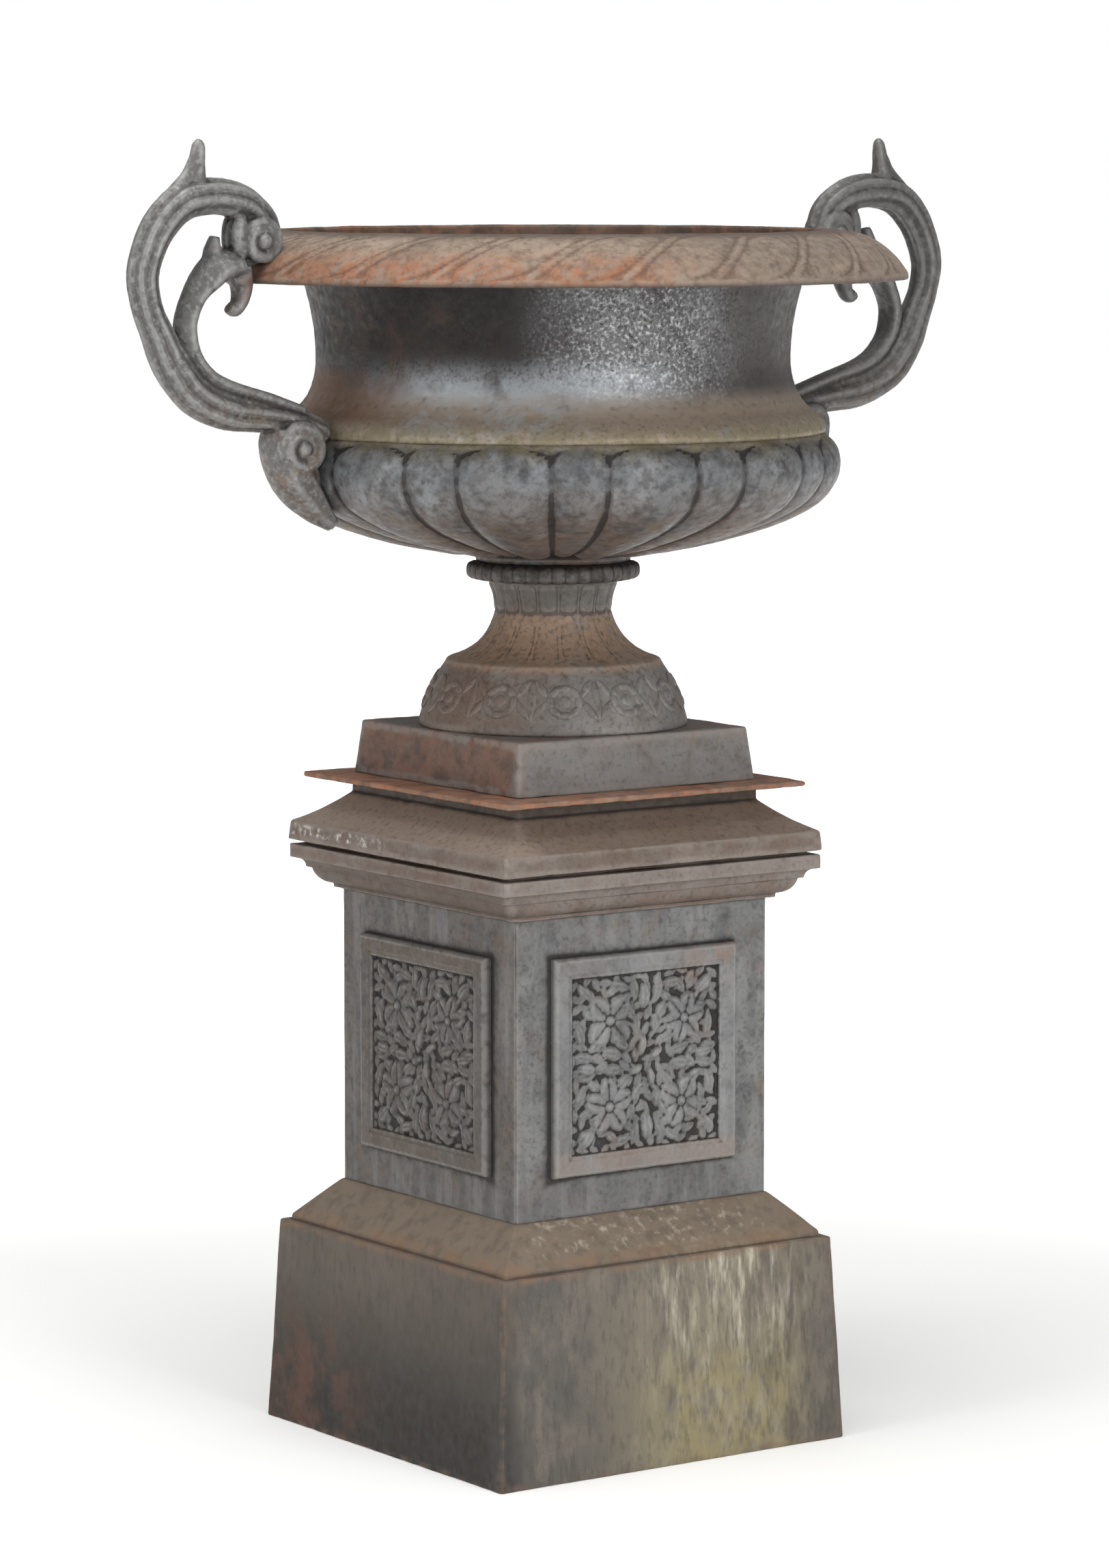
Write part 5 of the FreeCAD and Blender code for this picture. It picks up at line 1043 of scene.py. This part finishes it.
# %% Rim with leaning tongues
rim_line = eased([(250, 1106), (264, 1106), (264, 1122, -0.125), (322, 1089), (330, 1089), (330, 1094, 0.125),
                  (253, 1134.5), (250, 1133)], radius=1.6, step=3)
rim = turned("drooping_rim", rim_line, [
    lobes(rim_line, (330, 1094), (272, 1130), count=24, wide=0.84, arch=0.09, narrow=0.5, depth_mm=2.2, lean=-2.8),
], rim_iron, around=481, rows=190)
cast_waves(rim, depth_mm=0.5, size_mm=40, fine_mm=0.2, fine_size_mm=6)
line_inside(rim, inner_rust)
finish_piece(rim, "urn", ["rim"], rim_iron, depth_mm=0.6)

# %% [markdown]
# ## Foot
# The foot is a bell with a sharp upper edge, then a trumpet that narrows to a waist, and a short fluted neck
# under the collar. Flutes are lobes with a wide share near one. Fainter ones run on down the trumpet and die out.

# %% Foot with flutes
foot_line = eased([(116, 673), (126, 673), (126, 678, 0.05), (102, 731), (100, 735, -0.16), (53.5, 782, -0.07),
                   (61, 809), (30, 809), (30, 772, 0.16), (91, 723)], radius=1.5, step=3)
foot = turned("bell_foot", foot_line, [
    lobes(foot_line, (54, 780), (60, 807), count=18, wide=0.86, arch=0.012, narrow=0.45, depth_mm=1.7),
    lobes(foot_line, (98, 737), (54, 781), count=18, wide=0.86, arch=0.1, narrow=0.5, depth_mm=0.6),
], foot_iron, around=385, rows=230)
cast_waves(foot, depth_mm=0.5, size_mm=40, fine_mm=0.2, fine_size_mm=5)
finish_piece(foot, "urn", ["foot"], foot_iron, depth_mm=0.6)

# %% [markdown]
# ## Collar
# A beaded ring hides the joint of foot and bowl. Its beads are one more band of lobes, short and many.

# %% Beaded collar
collar_line = eased([(44, 809), (73, 809), (79.5, 813), (80, 817.5), (79.5, 822), (73, 826), (44, 826)],
                    radius=2.5, step=1.5)
collar = turned("beaded_collar", collar_line, [
    lobes(collar_line, (75, 810), (75, 825), count=40, wide=0.96, arch=0.05, narrow=0.1, depth_mm=1.6),
], foot_iron, around=481, rows=70)
finish_piece(collar, "urn", ["collar"], foot_iron, depth_mm=0.6, rounds=10)

# %% [markdown]
# ## Frieze on the bell
# Low rosettes and leaves go round the bell of the foot. Each motif is made once, and Geometry Nodes set copies
# on a ring of points, turned outwards and leant back to lie on the bell's slope.

# %% Rosette and leaf motifs
DOME_RINGS, DOME_AROUND = 6, 20


def dome(length, width, height, point):
    """A low hill that stands on z = 0 and is long along y."""
    points = []
    for ring in range(DOME_RINGS + 1):
        share = ring / DOME_RINGS
        for number in range(DOME_AROUND):
            angle = math.tau * number / DOME_AROUND
            taper = 1 - point * abs(math.sin(angle)) ** 2
            points.append((share * width / 2 * math.cos(angle) * taper, share * length / 2 * math.sin(angle),
                           height * math.sqrt(1 - share ** 2)))
    return np.array(points), skin(DOME_RINGS + 1, DOME_AROUND, close_rows=False)[:, ::-1]


def motif_mesh(name, hills):
    """Several low hills in one mesh: place across, place up, turn, length, width, height, point."""
    points, faces = [], []
    for across, up, turn, length, width, height, point in hills:
        spots, sheet = dome(length, width, height, point)
        angle = math.radians(turn)
        x, y = spots[:, 0].copy(), spots[:, 1].copy()
        spots[:, 0] = across + x * math.cos(angle) - y * math.sin(angle)
        spots[:, 1] = up + x * math.sin(angle) + y * math.cos(angle)
        faces += (sheet + sum(len(p) for p in points)).tolist()
        points.append(spots)
    mesh = bpy.data.meshes.new(name)
    mesh.from_pydata((np.concatenate(points) * MM).tolist(), [], faces)
    return mesh


PETALS, PETALS_OUT = 8, 13
ROSETTE = [(0, 0, 0, 13, 13, 2.4, 0)]
for number in range(PETALS):
    angle = math.tau * number / PETALS
    ROSETTE.append((PETALS_OUT * math.sin(angle), PETALS_OUT * math.cos(angle), 90 - 45 * number, 15, 8, 2.0, 0.1))
SPRAY = [(0, 0, 0, 40, 9, 2.1, 0.5), (-8, -8, 34, 24, 8, 1.9, 0.5), (8, -8, -34, 24, 8, 1.9, 0.5),
         (-8, 13, -34, 20, 8, 1.8, 0.4), (8, 13, 34, 20, 8, 1.8, 0.4)]
motifs = {"rosette": motif_mesh("rosette_motif", ROSETTE), "spray": motif_mesh("spray_motif", SPRAY)}
print("motif faces", {name: len(mesh.polygons) for name, mesh in motifs.items()})

# %% Motifs set round the bell
def ring_tree():
    tree = bpy.data.node_groups.new("motif_ring", "GeometryNodeTree")
    for name, kind in (("Geometry", "Geometry"), ("Count", "Int"), ("Radius", "Float"), ("Height", "Float"),
                       ("Lean", "Float"), ("Turn", "Float"), ("Material", "Material")):
        tree.interface.new_socket(name, in_out="INPUT", socket_type=f"NodeSocket{kind}")
    tree.interface.new_socket("Geometry", in_out="OUTPUT", socket_type="NodeSocketGeometry")
    given = add(tree, "NodeGroupInput").outputs
    ring = add(tree, "GeometryNodeMeshCircle", {"Vertices": given["Count"], "Radius": given["Radius"]})
    number = add(tree, "GeometryNodeInputIndex")
    step = add(tree, "ShaderNodeMath", {0: math.tau, 1: given["Count"]}, operation="DIVIDE")
    facing = add(tree, "ShaderNodeMath", {0: number, 1: step, 2: math.pi / 2}, operation="MULTIPLY_ADD")
    leant = add(tree, "ShaderNodeMath", {0: math.pi / 2, 1: given["Lean"]}, operation="SUBTRACT")
    tilt = add(tree, "ShaderNodeCombineXYZ", {0: leant, 2: facing})
    copies = add(tree, "GeometryNodeInstanceOnPoints", {"Points": ring, "Instance": given["Geometry"],
                                                        "Rotation": tilt})
    spin = add(tree, "ShaderNodeCombineXYZ", {2: given["Turn"]})
    raised = add(tree, "ShaderNodeCombineXYZ", {2: given["Height"]})
    put = add(tree, "GeometryNodeTransform", {"Geometry": copies, "Translation": raised, "Rotation": spin})
    real = add(tree, "GeometryNodeRealizeInstances", {"Geometry": put})
    done = add(tree, "GeometryNodeSetMaterial", {"Geometry": real, "Material": given["Material"]})
    add(tree, "NodeGroupOutput", {"Geometry": done})
    return tree


# the bell narrows by 24 mm over 53 mm of height
BELL_COUNT, BELL_RADIUS, BELL_MIDDLE, BELL_LEAN = 12, 116.4, 704, math.atan2(24, 53)
for name, turn in (("rosette", 0.0), ("spray", math.pi / BELL_COUNT)):
    frieze = made_by_nodes(f"bell_{name}s", motifs[name], ring_tree(), {
        "Count": BELL_COUNT, "Radius": BELL_RADIUS * MM, "Height": BELL_MIDDLE * MM, "Lean": BELL_LEAN, "Turn": turn,
        "Material": foot_iron})
    mark_hollows(frieze, depth_mm=0.6, rounds=4)
    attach(frieze, "urn")
    print(frieze.name, len(frieze.data.polygons), "faces")

# %% [markdown]
# ## Handles
# Each handle is one casting: a thick scroll that rises from a bracket on the bowl, bends out and up, throws up
# a thorn and curls over the rim into a volute, with a branch and a hanging curl inside. The bars are drawn as
# tubes through a few points, with ridges like a stalk, and spirals and knobs make the volutes and the leaves.
# A voxel remesh melts them into one skin, as the founder's pattern would be carved from one block.

# %% Bars, spirals and knobs for a handle
KNOB_AROUND, KNOB_RINGS, SPIRAL_STEPS = 24, 12, 40


def stalk(points, depth=1.15, ridges=7, ridge=0.1, around=42):
    """A closed ridged tube through (x, z, radius) in mm, wider along y by the depth share."""
    line = smooth_line(points)
    way = np.gradient(line[:, :2], axis=0)
    way /= np.linalg.norm(way, axis=1)[:, None]
    theta = np.arange(around) / around * math.tau
    rings = []
    for (x, z, radius), (tx, tz) in zip(line, way):
        swell = radius * (1 + ridge * np.cos(ridges * theta))
        across = swell * np.cos(theta)
        rings.append(np.stack([x + tz * across, swell * np.sin(theta) * depth, z - tx * across], 1))
    points = np.concatenate(rings)
    faces = skin(len(rings), around, close_rows=False).tolist()
    faces += [list(range(around))[::-1], [(len(rings) - 1) * around + k for k in range(around)]]
    return points, faces


def ring_bar(place, radius, bar, aside, turns, shrink):
    """A spiral in the upright plane with a thin start, set aside along y."""
    count = int(SPIRAL_STEPS * turns)
    centre = []
    for k in range(count + 1):
        angle = math.tau * turns * k / count
        reach = radius * (1 - shrink * k / count)
        thick = bar * min(1, 0.25 + k / 10)
        centre.append((place[0] + reach * math.cos(angle), place[1] + reach * math.sin(angle), thick))
    points, faces = stalk(centre, depth=1.0, ridges=0, ridge=0, around=16)
    return points + np.array([0, aside, 0]), faces


def knob(place, aside, size):
    """A closed egg: half-axes along x, y and z in mm."""
    points = []
    for ring in range(KNOB_RINGS + 1):
        angle = math.pi * ring / KNOB_RINGS
        for k in range(KNOB_AROUND):
            turn = math.tau * k / KNOB_AROUND
            points.append((place[0] + size[0] * math.sin(angle) * math.cos(turn), aside + size[1] * math.cos(angle),
                           place[1] + size[2] * math.sin(angle) * math.sin(turn)))
    return np.array(points), skin(KNOB_RINGS + 1, KNOB_AROUND, close_rows=False).tolist()


print("a knob has", len(knob((0, 0), 0, (1, 1, 1))[0]), "points")

# %% Places of the handle's parts
# bars: x, z and radius
SCROLL = [(253, 950, 7), (264, 956, 11), (288, 964, 13), (320, 970, 13.8), (358, 975.5, 15.8), (393, 990.5, 16.6),
          (417, 1018, 16), (431, 1046, 13.8), (441, 1069, 12.8), (445.5, 1095, 13.2), (439.5, 1120, 14),
          (426, 1144, 15), (405, 1162, 15.8), (372, 1167, 15.8), (343, 1162, 15), (322, 1149, 13), (311.5, 1128, 11)]
BRANCH = [(280, 973, 6.5), (320, 986, 7), (358, 996.5, 8), (380, 1007, 8.4), (396, 1025, 8.6), (402, 1045, 9),
          (401, 1060, 9), (392.5, 1079, 9.6), (380, 1094, 12.5), (366, 1105, 13.5), (346, 1107, 11)]
EAR = [(368, 1106, 12), (372, 1119, 7.5), (370, 1132, 4)]
PENDANT = [(346, 1103, 11), (342, 1088, 9), (344, 1074, 7.2), (350, 1066, 6), (356.5, 1068.5, 5)]
THORN = [(392, 1164, 15), (390.5, 1181, 10.5), (388.5, 1194, 7.8), (387, 1205, 6.8), (386, 1213, 5.6),
         (385.5, 1218, 2.5)]
FLANK = [(412, 1164, 11), (398, 1184, 6.5), (391, 1200, 5)]
BRACKET = [(300, 958, 18), (299, 938, 21), (289, 912, 20.5), (268, 888, 15), (246, 869, 7)]
parts = [stalk(SCROLL), stalk(BRANCH, depth=1.6, ridges=3), stalk(EAR, depth=1.6, ridges=2),
         stalk(PENDANT, depth=1.2, ridges=0), stalk(THORN, depth=1.0, ridges=3), stalk(FLANK, depth=1.0, ridges=3),
         stalk(BRACKET, ridges=6, ridge=0.05)]
# on each face a spiral with an eye for both volutes, and two small leaves
EYE, BRACKET_EYE = (327, 1127), (290, 940)
for side in (1, -1):
    parts.append(ring_bar(EYE, radius=18, bar=6, aside=12 * side, turns=1.7, shrink=0.55))
    parts.append(knob(EYE, 16 * side, (7, 6, 7)))
    parts.append(ring_bar(BRACKET_EYE, radius=21, bar=6.5, aside=19 * side, turns=1.7, shrink=0.55))
    parts.append(knob(BRACKET_EYE, 22 * side, (7, 6, 7)))
    parts.append(knob((348, 1131), 9 * side, (9, 6, 22)))
    parts.append(knob((346, 1097), 9 * side, (9, 6, 9)))
# the solid hearts of both volutes, and the foot of the bracket
parts.append(knob((333, 1131), 0, (25, 13, 26)))
parts.append(knob(BRACKET_EYE, 0, (24, 20, 25)))
parts.append(knob((277, 908), 0, (15, 17, 25)))
print("a handle's pattern has", len(parts), "parts")

# %% Melt the parts into one casting for each side
VOXEL_MM, SOFTEN_SHARE, SOFTEN_ROUNDS = 1.5, 0.5, 4
all_points, all_faces = [], []
for points, faces in parts:
    start = sum(len(p) for p in all_points)
    all_faces += [[corner + start for corner in face] for face in faces]
    all_points.append(points)
raw = new_piece("handle_pattern", np.concatenate(all_points) * MM, all_faces)
melt = raw.modifiers.new("melt", "REMESH")
melt.mode = "VOXEL"
melt.voxel_size = VOXEL_MM * MM
soften = raw.modifiers.new("soften", "SMOOTH")
soften.factor = SOFTEN_SHARE
soften.iterations = SOFTEN_ROUNDS
casting = bpy.data.meshes.new_from_object(raw.evaluated_get(bpy.context.evaluated_depsgraph_get()))
bpy.data.objects.remove(raw)
shape = read_points(casting)
casting_faces = [list(face.vertices) for face in casting.polygons]
for name, sign in (("right", 1), ("left", -1)):
    handle = new_piece(f"scroll_handle_{name}", shape * np.array([sign, sign, 1]), casting_faces)
    cast_waves(handle, depth_mm=0.5, size_mm=30, fine_mm=0.22, fine_size_mm=6)
    finish_piece(handle, "urn", [f"handle_{name}"], handle_iron,
                 depth_mm=0.9, rounds=16)

# %% [markdown]
# ## Pieces that stay as they are
# Rods, nuts, washers, screws and corner angles sit inside and keep their construction shapes. They only need a
# finish: dull steel for the fixings and rusty iron for the angles.

# %% Finishes for the inner pieces
def dress(node, material):
    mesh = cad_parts[node].data
    mesh.materials.clear()
    mesh.materials.append(material)


inner = [name for name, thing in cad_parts.items() if not thing.hide_render]
for name in inner:
    dress(name, inner_rust if name.startswith("corner_angle") else dull_steel)
print("construction pieces still shown", inner)
